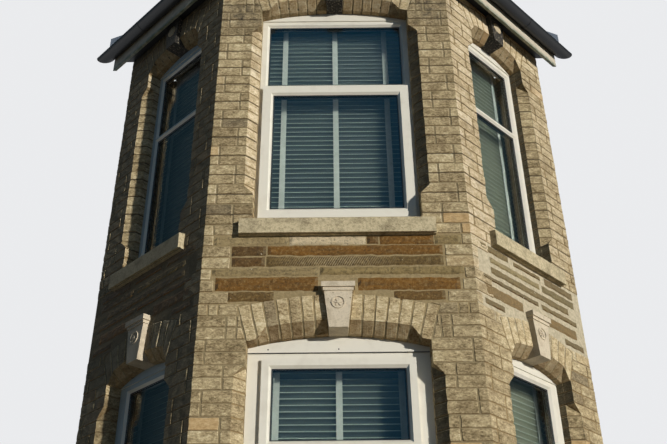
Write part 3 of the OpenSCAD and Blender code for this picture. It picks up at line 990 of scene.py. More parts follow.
@dataclass(frozen=True)
class Clouds(Pattern):
    """Cloudy pattern from 0 to 1 with patches of a real size.

    Its fields are the size of the patches, the number of finer layers and their weight, half the span that
    is drawn out to 0 and 1, whether each brick or stone has its own pattern, and how much finer it is along
    x, y and z.
    """

    size_mm: float
    detail: float = 3.0
    rough: float = 0.6
    spread: float = 0.22
    own: bool = False
    finer: Triple = (1.0, 1.0, 1.0)

    def draw(self, sheet: Sheet) -> Socket:
        """Draws the clouds and stretches their contrast.

        Args:
            sheet: takes them.

        Returns:
            Their value.
        """
        place = add(sheet.tree, "VectorMath", {0: sheet.value(Place()), 1: self.finer}, operation="MULTIPLY")
        scale = 1000 / self.size_mm
        inputs = {"Vector": place, "Scale": scale, "Detail": self.detail, "Roughness": self.rough}
        if self.own:
            inputs["W"] = add(sheet.tree, "Math", {0: sheet.value(Tone()), 1: 90.0}, operation="MULTIPLY")
        made = add(sheet.tree, "TexNoise", inputs, noise_dimensions="4D" if self.own else "3D")
        return add(sheet.tree, "MapRange", {0: made, 1: 0.5 - self.spread, 2: 0.5 + self.spread})


@dataclass(frozen=True)
class Steps(Pattern):
    """Share of the way from one joint to the next, or in turn to and from each second joint."""

    way: Triple
    pitch: float
    start: float = 0.0
    in_turn: bool = False

    def draw(self, sheet: Sheet) -> Socket:
        """Counts joints along the way and keeps what is past the last one.

        Args:
            sheet: takes the pattern.

        Returns:
            Its value.
        """
        inputs = {0: sheet.value(Along(self.way)), 1: 1 / self.pitch, 2: -self.start / self.pitch}
        count = add(sheet.tree, "Math", inputs, operation="MULTIPLY_ADD")
        return add(sheet.tree, "Math", {0: count, 1: 1.0}, operation="PINGPONG" if self.in_turn else "FRACT")


@dataclass(frozen=True)
class Furrows(Pattern):
    """Slanting furrows that a mason's point has left in a stone."""

    apart_mm: float = 13
    slant: float = math.radians(-30)

    def draw(self, sheet: Sheet) -> Socket:
        """Draws waves along the turned place.

        Args:
            sheet: takes them.

        Returns:
            Their value.
        """
        turned = add(sheet.tree, "VectorRotate", {"Vector": sheet.value(Place()), "Angle": self.slant},
                     rotation_type="Y_AXIS")
        return add(sheet.tree, "TexWave", {"Vector": turned, "Scale": 1000 / self.apart_mm * math.tau / 20,
                                           "Distortion": 1.0, "Detail": 2.0, "Detail Scale": 2.0}, "Fac",
                   bands_direction="X")


@dataclass(frozen=True)
class CutBricks(Pattern):
    """Bricks cut through at the house wall, in their courses."""

    def draw(self, sheet: Sheet) -> Socket:
        """Draws them upright.

        Args:
            sheet: takes them.

        Returns:
            Their colour.
        """
        upright = add(sheet.tree, "VectorRotate", {"Vector": sheet.value(Place()), "Angle": math.pi / 2},
                      rotation_type="X_AXIS")
        return add(sheet.tree, "TexBrick", {"Vector": upright, "Color1": "#B59A68", "Color2": "#A08458",
                                            "Mortar": "#8E8068", "Scale": 1.0, "Mortar Size": 0.005,
                                            "Brick Width": 0.225, "Row Height": BAY.course})


@dataclass(frozen=True)
class Sum(Pattern):
    """Sum of patterns, each with its weight."""

    parts: tuple[tuple[float, Pattern], ...]

    def draw(self, sheet: Sheet) -> Socket:
        """Adds them up.

        Args:
            sheet: takes the sum.

        Returns:
            Its value.
        """
        total: Socket | float = 0.0
        for weight, part in self.parts:
            inputs = {0: sheet.value(part), 1: weight, 2: total}
            total = add(sheet.tree, "Math", inputs, operation="MULTIPLY_ADD")
        return total


@dataclass(frozen=True)
class Shades(Pattern):
    """Colours that follow a pattern."""

    pattern: Pattern
    stops: Stops

    def draw(self, sheet: Sheet) -> Socket:
        """Sets the colours along the pattern's value.

        Args:
            sheet: takes them.

        Returns:
            The colour.
        """
        colour = add(sheet.tree, "ValToRGB", {0: sheet.value(self.pattern)})
        elements = colour.node.color_ramp.elements
        while len(elements) < len(self.stops):
            elements.new(1.0)
        for element, (at, shade) in zip(elements, self.stops):
            element.position = at
            element.color = linear(shade)
        return colour


@dataclass(frozen=True)
class Mask(Pattern):
    """How much of a coat a pattern lets through: least where its value is low, most where it is high."""

    pattern: Pattern
    low: float = 0.0
    high: float = 1.0
    least: float = 0.0
    most: float = 1.0

    def draw(self, sheet: Sheet) -> Socket:
        """Maps the pattern's value."""
        limits = {1: self.low, 2: self.high, 3: self.least, 4: self.most}
        return add(sheet.tree, "MapRange", {0: sheet.value(self.pattern), **limits})


@dataclass(frozen=True)
class Seen(Pattern):
    """1 where a surface is seen straight, in a gloss or through glass, and 0 where it only gives light."""

    def draw(self, sheet: Sheet) -> Socket:
        """Joins the kinds of ray, and leaves out those that have met a matt surface.

        Args:
            sheet: takes the pattern.

        Returns:
            Its value.
        """
        path = add(sheet.tree, "LightPath").node.outputs
        seen = path["Is Camera Ray"]
        for kind in ("Is Glossy Ray", "Is Transmission Ray"):
            seen = add(sheet.tree, "Math", {0: seen, 1: path[kind]}, operation="MAXIMUM")
        straight = add(sheet.tree, "Math", {0: path["Diffuse Depth"], 1: 0.5}, operation="LESS_THAN")
        return add(sheet.tree, "Math", {0: seen, 1: straight}, operation="MULTIPLY")


class Coat:
    """A colour that covers what is below it where all its masks let it, or everywhere without one."""

    def __init__(self, colour: str | Pattern, *masks: Pattern) -> None:
        """Keeps the colour and the masks."""
        self.colour = colour
        self.masks = masks

    def over(self, sheet: Sheet, below: Socket | str) -> Socket | str:
        """Lays the coat.

        Args:
            sheet: takes it.
            below: colour that it covers.

        Returns:
            The colour with the coat on it.
        """
        top = sheet.value(self.colour) if isinstance(self.colour, Pattern) else self.colour
        if not self.masks:
            return top
        share = sheet.value(self.masks[0])
        for mask in self.masks[1:]:
            share = add(sheet.tree, "Math", {0: share, 1: sheet.value(mask)}, operation="MULTIPLY")
        return add(sheet.tree, "Mix", {0: share, 6: below, 7: top}, 2, data_type="RGBA")


HEIGHT = Along()
BACK = (0.0, 1.0, 0.0)
STREET = (0.0, -1.0, 0.0)
BELOW = (0.0, 0.0, -1.0)
# Ways towards the key lamp and away from it; coats under these masks paint sunlight and shade into colours.
TO_SUN = Facing((math.sqrt(0.5), -math.sqrt(0.5), 0.0))
TO_SHADE = Facing((-math.sqrt(0.5), -math.sqrt(0.5), 0.0))
SUNNY = Mask(TO_SUN, 0.8, 0.95)


def painted_shade(colour: str, most: float) -> Coat:
    """Painted shade: a dark colour on the faces turned away from the key lamp, as they lie in shade."""
    return Coat(colour, Mask(TO_SHADE, 0.8, 0.95, most=most))


def spot(x: float, z: float, radius: float) -> Mask:
    """Round spot on the front that fades outwards."""
    return Mask(Away((x, BAY.front_y, z)), radius, 0.2 * radius)


@dataclass(frozen=True)
class Finish:
    """A finish with its name, the roughness of its surface and what it is made of."""

    name: str
    roughness: float = 0.8
    metallic: float = field(default=0.0, kw_only=True)
    ior: float = field(default=1.5, kw_only=True)

    def coats(self) -> list[Coat]:
        """Colours from the lowest up."""
        raise NotImplementedError

    def relief(self) -> tuple[Pattern, float] | None:
        """Pattern that raises the surface, with its depth in millimetres."""
        return None

    def complete(self, sheet: Sheet, shader: bpy.types.Node) -> None:
        """Sets what only this finish has."""

    def material(self) -> bpy.types.Material:
        """Makes the material.

        Returns:
            The material, with its coats and relief on its shader.
        """
        made = bpy.data.materials.new(self.name)
        made.use_nodes = True
        sheet = Sheet(made.node_tree)
        shader = next(n for n in sheet.tree.nodes if n.type == "BSDF_PRINCIPLED")
        for name, value in (("Roughness", self.roughness), ("Metallic", self.metallic), ("IOR", self.ior)):
            shader.inputs[name].default_value = value
        colour: Socket | str = ""
        for coat in self.coats():
            colour = coat.over(sheet, colour)
        if isinstance(colour, str):
            shader.inputs["Base Color"].default_value = linear(colour)
        else:
            sheet.tree.links.new(colour, shader.inputs["Base Color"])
        relief = self.relief()
        if relief:
            raised = add(sheet.tree, "Bump", {"Height": sheet.value(relief[0]), "Distance": relief[1] * MM,
                                              "Strength": 1.0})
            sheet.tree.links.new(raised, shader.inputs["Normal"])
        self.complete(sheet, shader)
        return made


@dataclass(frozen=True)
class FiredBrick(Finish):
    """Buff facing brick, pressed and fired with a sandy face.

    The clay burns to cream, buff and brown within one brick, so each is blotched in its own way. The face
    turned to the key lamp is painted paler, as sunlit, and the face turned away from it is painted dark, as
    shade.
    """

    tones: Stops = ((0.12, "#453823"), (0.30, "#7C6A48"), (0.46, "#A5916B"), (0.58, "#C1AC82"),
                    (0.72, "#DAC99F"), (0.88, "#ECE1C0"))
    # Painted light: paler tones for the faces turned to the key lamp, as they look in sunlight.
    washed: Stops = ((0.15, "#85704E"), (0.34, "#B59E76"), (0.52, "#D6C19C"), (0.8, "#F2E5CA"))
    # Sand, drawn coarser than it is so that it shows.
    sand: Pattern = Clouds(17, 3, 0.75, 0.18, True, (1.0, 1.0, 1.8))

    def coats(self) -> list[Coat]:
        """Blotched clay, odd bricks, painted sunlight and painted shade by facing, shaded undersides,
        patches, pits and soot stains.

        Returns:
            Coats from the lowest up.
        """
        blotches = Clouds(60, 4, 0.7, 0.18, True, (1.0, 1.0, 1.8))
        shade = Sum(((0.34, blotches), (0.20, Tone()), (0.36, self.sand), (0.10, Clouds(420, 2))))
        return [Coat(Shades(shade, self.tones)),
                Coat("#C79E66", Mask(Tone(), 0.86, 0.94, most=0.6)),
                Coat("#6A6252", Mask(Tone(), 0.13, 0.07, most=0.35)),
                # Painted light: the faces turned to the key lamp take the sunlit tones, less so low down and
                # towards the house wall.
                Coat(Shades(shade, self.washed), Mask(SUNNY, most=0.9), Mask(HEIGHT, 3.7, 4.5, 0.2),
                     Mask(Along(BACK), BAY.front_y + 0.1, BAY.back_y, 1.0, 0.4)),
                # Painted shade on the faces turned away from the key lamp.
                painted_shade("#2B2C22", 0.76),
                # Painted shade: faces looking down are darker brown, as the undersides of the arches lie in
                # shade.
                Coat("#6E5028", Mask(Facing(BELOW), 0.2, 0.6, most=0.5)),
                Coat("#665030", Mask(Clouds(170, 3, 0.7), 0.55, 0.95, most=0.4)),
                Coat("#54462F", Mask(Clouds(10, 2, 0.6, 0.30, True), 0.80, 0.92, most=0.5)),
                Coat("#3C3428", spot(-0.70, 6.27, 0.26), Clouds(40)),
                Coat("#3C3428", spot(0.72, 6.32, 0.24), Clouds(40))]

    def relief(self) -> tuple[Pattern, float]:
        """Sand over a finer grain."""
        return Sum(((0.6, self.sand), (0.4, Clouds(6, 3, 0.7)))), 3.0


@dataclass(frozen=True)
class LimeMortar(Finish):
    """Lime mortar behind the bricks, sandy and rough, with cut bricks at the house wall and plaster inside.

    Every second bed joint of the upper storey has weathered back and is painted dark for the shade in its
    deep recess, and the upright joints keep their sand. Round the stones of the band the mortar is smeared
    over their edges and is pale, paler still where painted as sunlit on the face towards the key lamp.
    """

    side: Side = Side.FRONT
    # Sand, drawn coarser than it is so that it shows.
    sand: Pattern = Clouds(22, 4, 0.7)

    def coats(self) -> list[Coat]:
        """Mortar by where it lies, painted sunlight, dirt, painted shade, plaster and cut bricks.

        Returns:
            Coats from the lowest up.
        """
        origin = BAY.place(self.side, 0, 0, 0)
        inward = BAY.place(self.side, 0, 1, 0) - origin
        face = origin.dot(inward)
        band = (Mask(HEIGHT, 3.70, 3.74), Mask(HEIGHT, 4.30, 4.29))
        joints = Steps(HEIGHT.way, BAY.course, BAY.upper_line, True)
        return [Coat("#A3916B"),
                # Painted light: the mortar's sunlit colour on the face towards the key lamp, paler still in
                # the band.
                Coat("#A68C60", SUNNY),
                Coat("#B09A6E", *band),
                Coat("#DACBAA", SUNNY, *band),
                Coat("#463A26", Mask(self.sand, most=0.5)),
                # Painted shade: every second bed joint of the upper storey is darkened as the shade in its
                # deep recess.
                Coat("#463B2A", Mask(joints, 0.09, 0.06), Mask(HEIGHT, 4.30, 4.31),
                     Mask(self.sand, 0.9, 0.3, 0.4)),
                # Painted shade on the face turned away from the key lamp.
                painted_shade("#24241D", 0.75),
                Coat("#DAD5CA", Mask(Along(inward[:]), face + 0.183, face + 0.184)),
                Coat(CutBricks(), Mask(Facing(BACK), 0.97, 0.99),
                     Mask(Along(BACK), BAY.back_y - 2 * MM, BAY.back_y - 1 * MM))]

    def relief(self) -> tuple[Pattern, float]:
        """Coarse sand."""
        return self.sand, 3.0


@dataclass(frozen=True)
class SplitStone(Finish):
    """Riven sandstone of the band, split along its bed and dressed with a point.

    Iron in the beds colours it ochre and brown, quartz and old lime show as pale grit and chips, and the
    tooled stones have slanting pale furrows.
    """

    tones: Stops = ((0.0, "#5C401A"), (0.14, "#744F1A"), (0.25, "#895B15"), (0.38, "#775523"),
                    (0.5, "#6F592E"), (0.65, "#9A8454"), (0.85, "#DCC8A2"))
    # Grains, drawn coarser than they are so that they show.
    grit: Pattern = Clouds(15, 3, 0.75, 0.17, True)

    def coats(self) -> list[Coat]:
        """Each stone's colour, then beds, furrows, grit, chips, painted sunlight and painted shade.

        Returns:
            Coats from the lowest up.
        """
        beds = Clouds(150, 4, 0.65, 0.17, True, (1.0, 1.0, 6.0))
        return [Coat(Shades(Tone(), self.tones)),
                Coat("#54401E", beds, Mask(Tone(), 0.6, 0.8, 0.65, 0.3)),
                Coat("#C4B490", Mask(Furrows(), 0.55, 0.95, most=0.65), Mask(Tone(), 0.33, 0.38),
                     Mask(Tone(), 0.57, 0.52), Mask(Facing(STREET), 0.75, 0.95), spot(-0.02, 4.09, 0.42)),
                Coat("#261C10", Mask(self.grit, 0.45, 0.0, most=0.6)),
                Coat("#B8A06C", Mask(self.grit, 0.6, 1.0, most=0.32)),
                Coat("#DCD2B8", Mask(Clouds(26, 2, 0.5, 0.26, True), 0.96, 0.99, most=0.8)),
                # Painted light: stones on the face towards the key lamp are paler, as sunlit.
                Coat("#A09876", Mask(TO_SUN, 0.75, 0.95, most=0.3)),
                # Painted shade on the face turned away from the key lamp.
                painted_shade("#26261E", 0.72)]

    def relief(self) -> tuple[Pattern, float]:
        """Grit over broken beds."""
        return Sum(((0.7, self.grit), (0.3, Clouds(40, 3, 0.7)))), 3.5


@dataclass(frozen=True)
class DressedStone(Finish):
    """Sawn sandstone of sills, keystones and plinth: fine grain, soft stains and pits left by the weather."""

    colour: str = "#B9A884"
    stain: str = "#6E6048"
    cover: float = 0.4
    # Grains, drawn coarser than they are so that they show.
    grain: Pattern = Clouds(15, 3, 0.75, 0.17)

    def coats(self) -> list[Coat]:
        """Stone, then stains, dark and pale grain and painted shade."""
        return [Coat(self.colour),
                Coat(self.stain, Mask(Clouds(90, 4, 0.65), 0.4, 1.0, most=self.cover)),
                Coat(self.stain, Mask(self.grain, 0.45, 1.0, most=0.5)),
                Coat("#DACBA8", Mask(self.grain, 0.35, 0.0, most=0.4)),
                # Painted shade on the faces turned away from the key lamp.
                painted_shade("#2C2C24", 0.45)]

    def relief(self) -> tuple[Pattern, float]:
        """Grain."""
        return self.grain, 1.6


@dataclass(frozen=True)
class PaintedStone(Finish):
    """Cream masonry paint on carved stone: thick brushed film, chipped to the stone in places."""

    colour: str = "#D8C8AC"

    def coats(self) -> list[Coat]:
        """Paint, then stains, grime, chips and painted shade."""
        return [Coat(self.colour),
                Coat("#A08C6C", Mask(Clouds(70, 4), 0.4, 1.0, most=0.55)),
                Coat("#8A7656", Mask(Clouds(12, 3, 0.75), 0.5, 1.0, most=0.4)),
                Coat("#7A664A", Mask(Clouds(20), 0.93, 0.97)),
                # Painted shade on the faces turned away from the key lamp.
                painted_shade("#2E3A38", 0.5)]

    def relief(self) -> tuple[Pattern, float]:
        """Brush marks."""
        return Clouds(9), 0.8


@dataclass(frozen=True)
class ExtrudedPlastic(Finish):
    """White window plastic, extruded and welded: even satin colour that has yellowed in the sun.

    Where the frame faces away from the key lamp it is painted dark blue-green, as shade lit by the blue sky.
    """

    def coats(self) -> list[Coat]:
        """Plastic, then faint grime and the painted blue shade."""
        return [Coat("#ECE5D3"),
                Coat("#C4B8A2", Mask(Clouds(120), 0.5, 1.0, most=0.25)),
                # Painted shade, blue as if lit only by the sky, on frames turned away from the key lamp.
                painted_shade("#5A8EA6", 0.55)]


@dataclass(frozen=True)
class FloatGlass(Finish):
    """Sealed glazing: clear, slightly green float glass that mirrors the sky at a flat angle."""

    def coats(self) -> list[Coat]:
        """Its faint green."""
        return [Coat("#F2F8F5")]

    def complete(self, sheet: Sheet, shader: bpy.types.Node) -> None:
        """Makes it clear and lets lamps through.

        Args:
            sheet: takes the nodes.
            shader: shader of the glass.
        """
        shader.inputs["Transmission Weight"].default_value = 1.0
        clear = add(sheet.tree, "BsdfTransparent", {0: "#E6EEEA"})
        shadow = add(sheet.tree, "LightPath", out="Is Shadow Ray")
        mixed = add(sheet.tree, "MixShader", {0: shadow, 1: shader.outputs[0], 2: clear})
        output = next(n for n in sheet.tree.nodes if n.type == "OUTPUT_MATERIAL")
        sheet.tree.links.new(mixed, output.inputs["Surface"])


@dataclass(frozen=True)
class Plain(Finish):
    """A finish of one colour that is cloudy over a real size, with a fine surface."""

    colour: str = "#808080"
    second: str = "#606060"
    size_mm: float = 80
    grain_mm: float = 8
    depth_mm: float = 0.3

    def coats(self) -> list[Coat]:
        """Clouds of the second colour over the first."""
        return [Coat(self.colour), Coat(self.second, Clouds(self.size_mm, 4))]

    def relief(self) -> tuple[Pattern, float]:
        """Fine grain."""
        return Clouds(self.grain_mm), self.depth_mm


@dataclass(frozen=True)
class Slat(Finish):
    """Rolled aluminium slats, stove enamelled: smoke grey, painted darker for the shade on their undersides,
    painted lighter on the sunlit right-hand face, with a painted highlight on the lip.
    """

    # Dark body for the shaded undersides, a lighter tone painted for the sunlit right-hand slats, and the
    # palest for the lips as a painted highlight.
    tones: Stops = ((0.0, "#3D4241"), (0.35, "#6E6C5C"), (0.6, "#787D72"))

    def coats(self) -> list[Coat]:
        """Enamel by the tone of the faces, which paints the lit lips and the sunlit slats lighter."""
        return [Coat(Shades(Tone(), self.tones))]


@dataclass(frozen=True)
class Boards(Finish):
    """Planed boards side by side, with a dark joint and long grain."""

    colour: str = "#9A7448"
    second: str = "#7A5630"
    width: float = 0.120
    grain: Pattern = Clouds(12, 4, finer=(0.08, 1.0, 1.0))

    def gaps(self) -> Mask:
        """Joints between the boards."""
        return Mask(Steps(BACK, self.width), 0.03, 0.0)

    def coats(self) -> list[Coat]:
        """Wood, then grain and joints."""
        return [Coat(self.colour), Coat(self.second, self.grain), Coat("#2A1C10", self.gaps())]

    def relief(self) -> tuple[Pattern, float]:
        """Grain, sunk at the joints."""
        return Sum(((1.0, self.grain), (-1.0, self.gaps()))), 0.6


@dataclass(frozen=True)
class Fascia(Finish):
    """Cream plastic boards at the eaves, grey-green along their lower edge."""

    def coats(self) -> list[Coat]:
        """Plastic, then grime, and grey-green low down."""
        clouds = Clouds(60, 4)
        return [Coat("#D9CCB4"), Coat("#B5A78C", Mask(clouds, 0.45, 1.0, most=0.3)),
                Coat("#7E8672", Mask(HEIGHT, 6.560, 6.525), Mask(clouds, 0.1, 0.6, 0.4))]


@dataclass(frozen=True)
class PaleFloor(Finish):
    """Matt studio floor, pale where it is seen and sandy to the light, as the ground of a street."""

    def coats(self) -> list[Coat]:
        """Sandy colour, and the pale one where the floor is seen."""
        return [Coat("#A8977C"), Coat("#F0EEEA", Seen())]

    def relief(self) -> tuple[Pattern, float]:
        """Fine roughness."""
        return Clouds(40), 0.2

    def complete(self, sheet: Sheet, shader: bpy.types.Node) -> None:
        """Lifts the shadows where the floor is seen."""
        shader.inputs["Emission Color"].default_value = linear("#F2F3F4")
        sheet.tree.links.new(sheet.value(Mask(Seen(), most=0.5)), shader.inputs["Emission Strength"])


ARCH_TONES = ((0.1, "#4A3A20"), (0.28, "#8C7650"), (0.42, "#B8A177"), (0.56, "#D2BD92"), (0.72, "#E6D5AE"),
              (0.88, "#F4E8CA"))


@dataclass
class Finishes:
    """All finishes of the bay, made once."""

    made: dict[str, bpy.types.Material] = field(default_factory=dict)

    def __post_init__(self) -> None:
        """Makes the materials."""
        every: list[Finish] = [
            FiredBrick("fired_buff_brick", 0.92),
            FiredBrick("fired_arch_brick", 0.92, tones=ARCH_TONES),
            SplitStone("split_sandstone", 0.9),
            # Sandstone sawn for sills: pale and even, with soft brown stains from the rain.
            DressedStone("sawn_sandstone_sills", 0.85, "#D0BF98", "#665638", 0.7),
            # Sandstone that soot has blackened: almost no grain shows.
            DressedStone("sooty_sandstone_keystones", 0.9, "#2E2820", "#15120E", 1.0),
            # Sandstone rubbed flat: even and dull.
            DressedStone("rubbed_sandstone_plinth", 0.9, "#A8977A"),
            PaintedStone("painted_keystones", 0.7),
            PaintedStone("painted_bosses", 0.7, "#C9B795"),
            ExtrudedPlastic("extruded_window_plastic", 0.35),
            FloatGlass("float_glass", 0.0),
            # Woven polyester tape: flat grey and matt, with a faint weave.
            Plain("woven_ladder_tape", 0.85, "#A09D98", "#928F8A", 30, 4, 0.4),
            Slat("enamelled_slats", 0.5),
            # Gloss oil paint on planed timber: smooth and shiny, with long soft brush marks.
            Plain("gloss_painted_timber", 0.3, "#E9E5DA", "#DCD6C8", 150, 40, 0.2),
            # Planed softwood with a dark stain, dark enough to stand for the shade inside the room behind the
            # glass: a low sheen over the grain.
            Plain("stained_lining_boards", 0.4, "#33291E", "#281F16", 40, 14, 0.2),
            # Varnished pine: warm brown, with long grain and dark joints.
            Boards("pine_floor_boards", 0.5),
            # Plaster skimmed with a trowel: pale and matt, a little uneven.
            Plain("skimmed_plaster", 0.9, "#E4E0D6", "#D6D1C6", 200, 20, 0.3),
            # Softwood off the saw: pale brown, rough and dull.
            Boards("sawn_softwood", 0.8, "#B08C5A", "#8E6C40", 1.0),
            # Extruded black plastic boards: smooth, with a soft sheen.
            Plain("black_plastic_boards", 0.4, "#0E0E0E", "#171615", 90, 12, 0.2),
            Fascia("cream_fascia_boards", 0.4),
            # Extruded black plastic gutter: a soft gloss, dulled by dust.
            Plain("moulded_black_gutter", 0.45, "#0B0B0B", "#141312", 70, 10, 0.1),
            # Slate split along its bed: blue grey and dull, with a stepped face.
            Plain("riven_slate", 0.6, "#4C5058", "#3A3D45", 60, 14, 1.0),
            # Clay fired dark: matt and grainy.
            Plain("dark_fired_clay", 0.8, "#4A4442", "#37322F", 60, 9, 0.8),
            # Milled lead sheet: a soft grey that the weather has dulled, half a metal and half its crust.
            Plain("milled_lead_sheet", 0.5, "#8A8D92", "#6E7176", 70, 25, 0.6, metallic=0.6),
            # Moulded rubber: black and matt.
            Plain("rubber_gasket", 0.7, "#1B1C1C", "#242525", 50, 8, 0.1)]
        every += [LimeMortar(f"lime_mortar_{side.name.lower()}", 0.95, side) for side in Side]
        for finish in every:
            self.made[finish.name] = finish.material()

    def __getitem__(self, name: str) -> bpy.types.Material:
        """Material by its name."""
        return self.made[name]


@dataclass
class CadDress:
    """Gives each solid of the frame its finish."""

    finishes: Finishes

    def names(self) -> dict[str, str]:
        """Finish of each node.

        Returns:
            Names of finishes by names of nodes.
        """
        pairs: dict[str, str] = {}
        for side in Side:
            word = side.name.lower()
            for stem in ("ground_wall", "upper_wall", "stone_band", "ground_arch", "upper_arch"):
                pairs[f"{stem}_{word}"] = f"lime_mortar_{word}"
            pairs[f"roof_{word}"] = "riven_slate"
        pairs.update({
            "plinth": "rubbed_sandstone_plinth", "ground_keystones": "painted_keystones",
            "upper_keystones": "sooty_sandstone_keystones", "upper_bosses": "painted_bosses",
            "ground_sills": "sawn_sandstone_sills", "upper_sills": "sawn_sandstone_sills",
            "window_boards": "gloss_painted_timber", "ground_floor": "pine_floor_boards",
            "first_floor": "pine_floor_boards", "ceiling": "skimmed_plaster", "wall_plate": "sawn_softwood",
            "rafters": "sawn_softwood", "soffit": "black_plastic_boards", "fascia": "cream_fascia_boards",
            "gutter": "moulded_black_gutter", "hip_tiles": "dark_fired_clay",
            "flashing": "milled_lead_sheet"})
        for stem in ("ground", "upper"):
            pairs[f"{stem}_blinds"] = "woven_ladder_tape"
            pairs[f"{stem}_glass"] = "float_glass"
            for part in ("frames", "sashes", "head_panels"):
                pairs[f"{stem}_{part}"] = "extruded_window_plastic"
        return pairs

    def build(self) -> None:
        """Puts the finishes on the nodes."""
        for name, finish in self.names().items():
            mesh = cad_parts[name].data
            mesh.materials.clear()
            mesh.materials.append(self.finishes[finish])
            log.info("%s: %s", name, finish)


@dataclass
class Linings:
    """Dark boards round the inner reveals of the windows, which stand for the shade behind the glass, with an
    arris bead beside the blinds.
    """

    finish: bpy.types.Material
    thick: float = 12 * MM
    bead: float = 36 * MM
    beside: float = 7 * MM
    stop: float = 3 * MM
    lap: float = 1 * MM
    head_depth: float = 35 * MM
    foot: float = 0.053
    head: float = 0.014

    def build(self) -> None:
        """Fixes two side boards and a head board at each window."""
        start = BAY.recess + BAY.frame_t + 2 * MM
        room, covered, stop = BAY.wall, BAY.wall + self.lap, self.stop
        back = room + self.bead
        for storey in (BAY.ground, BAY.upper):
            mesh = Mesher()
            for side in Side:
                hw = BAY.opening(side)
                foot, head = storey.sill + self.foot, storey.spring + BAY.rise(side) + self.head
                inner, bead = hw - self.thick, hw + self.beside
                far = bead + 2 * self.thick
                for m in (1, -1):
                    house = side is not Side.FRONT and m == side.value
                    edge = min(far, BAY.side_w / 2 - back - stop) if house else far
                    tail = edge + self.bead if house else far
                    outline = [(inner, start), (inner, room - stop), (inner + stop, covered), (bead, covered),
                               (bead, back - stop), (bead + stop / 2, back), (max(edge, bead + stop), back),
                               (tail, room), (hw, room), (hw, start)]
                    mesh.loft([[BAY.place(side, m * t, d, z) for t, d in outline] for z in (foot, head)])
                front, low = room - self.head_depth, head - self.thick
                board = [(front, head), (front, low + stop), (front + stop, low), (room - stop, low),
                         (room, low + stop), (room, head)]
                mesh.bar(side, board, (-inner, inner))
            mesh.piece(f"{storey.name}_linings", self.finish, "painted_timber")


@dataclass
class Slats:
    """Venetian slats of all blinds, each with a curled outer lip, closed towards the room under a valance."""

    finish: bpy.types.Material
    pitch: float = 0.041
    width: float = 0.047
    tilt: float = math.radians(52)
    thick: float = 1.2 * MM
    lip: float = 7 * MM
    curl: float = 3 * MM
    crown: float = 2.5 * MM
    gap: float = 0.012
    overlap: float = 0.005
    first: float = 0.088
    behind: float = 5.5 * MM
    over: float = 0.020
    valance: float = 0.037
    hem: float = 0.047
    hem_thick: float = 3 * MM
    # Tone that paints the right-hand slats lighter, as sunlit.
    bleached: float = 0.35

    def section(self) -> list[Point]:
        """Outline of one slat.

        Returns:
            Points (depth from the outer edge, height).
        """
        outer = [(0.0, -self.lip), (0.5 * MM, -self.lip * 0.3), (self.curl, 0.0)]
        steps = 5
        run = []
        for k in range(1, steps + 1):
            share = k / steps
            a = self.curl + (self.width - self.curl) * share
            bow = self.crown * 4 * share * (1 - share)
            run.append((a * math.cos(self.tilt) + bow * math.sin(self.tilt), -a * math.sin(self.tilt) + bow))
        top = outer + run
        low = [(a + 0.3 * MM, z - self.thick) for a, z in reversed(top)]
        return top + low

    def build(self) -> None:
        """Hangs the slats of the six blinds."""
        for storey in (BAY.ground, BAY.upper):
            mesh = Mesher()
            for side in Side:
                hw = BAY.opening(side) + (self.overlap if side is not Side.FRONT else -self.gap)
                z = storey.sill + BAY.seat + self.first + self.pitch
                top = storey.spring + BAY.rise(side) + self.over
                tone = self.bleached if side is Side.RIGHT else 0.0
                while z < top:
                    slat = [(BAY.wall + self.behind + a, z + b) for a, b in self.section()]
                    # The lip's faces take tone 1, a painted highlight where the sun catches them.
                    mesh.bar(side, slat, (-hw, hw), tone, {0: 1.0, 1: 1.0})
                    z += self.pitch
                d, low, high = BAY.wall + self.valance, top - self.hem, top + self.hem_thick
                hem = [(d, low), (d + self.hem_thick, low + 2 * MM), (d + self.hem_thick, high), (d, high)]
                mesh.bar(side, hem, (-hw, hw), 0.0)
            mesh.piece(f"{storey.name}_slats", self.finish, "blind_tape")


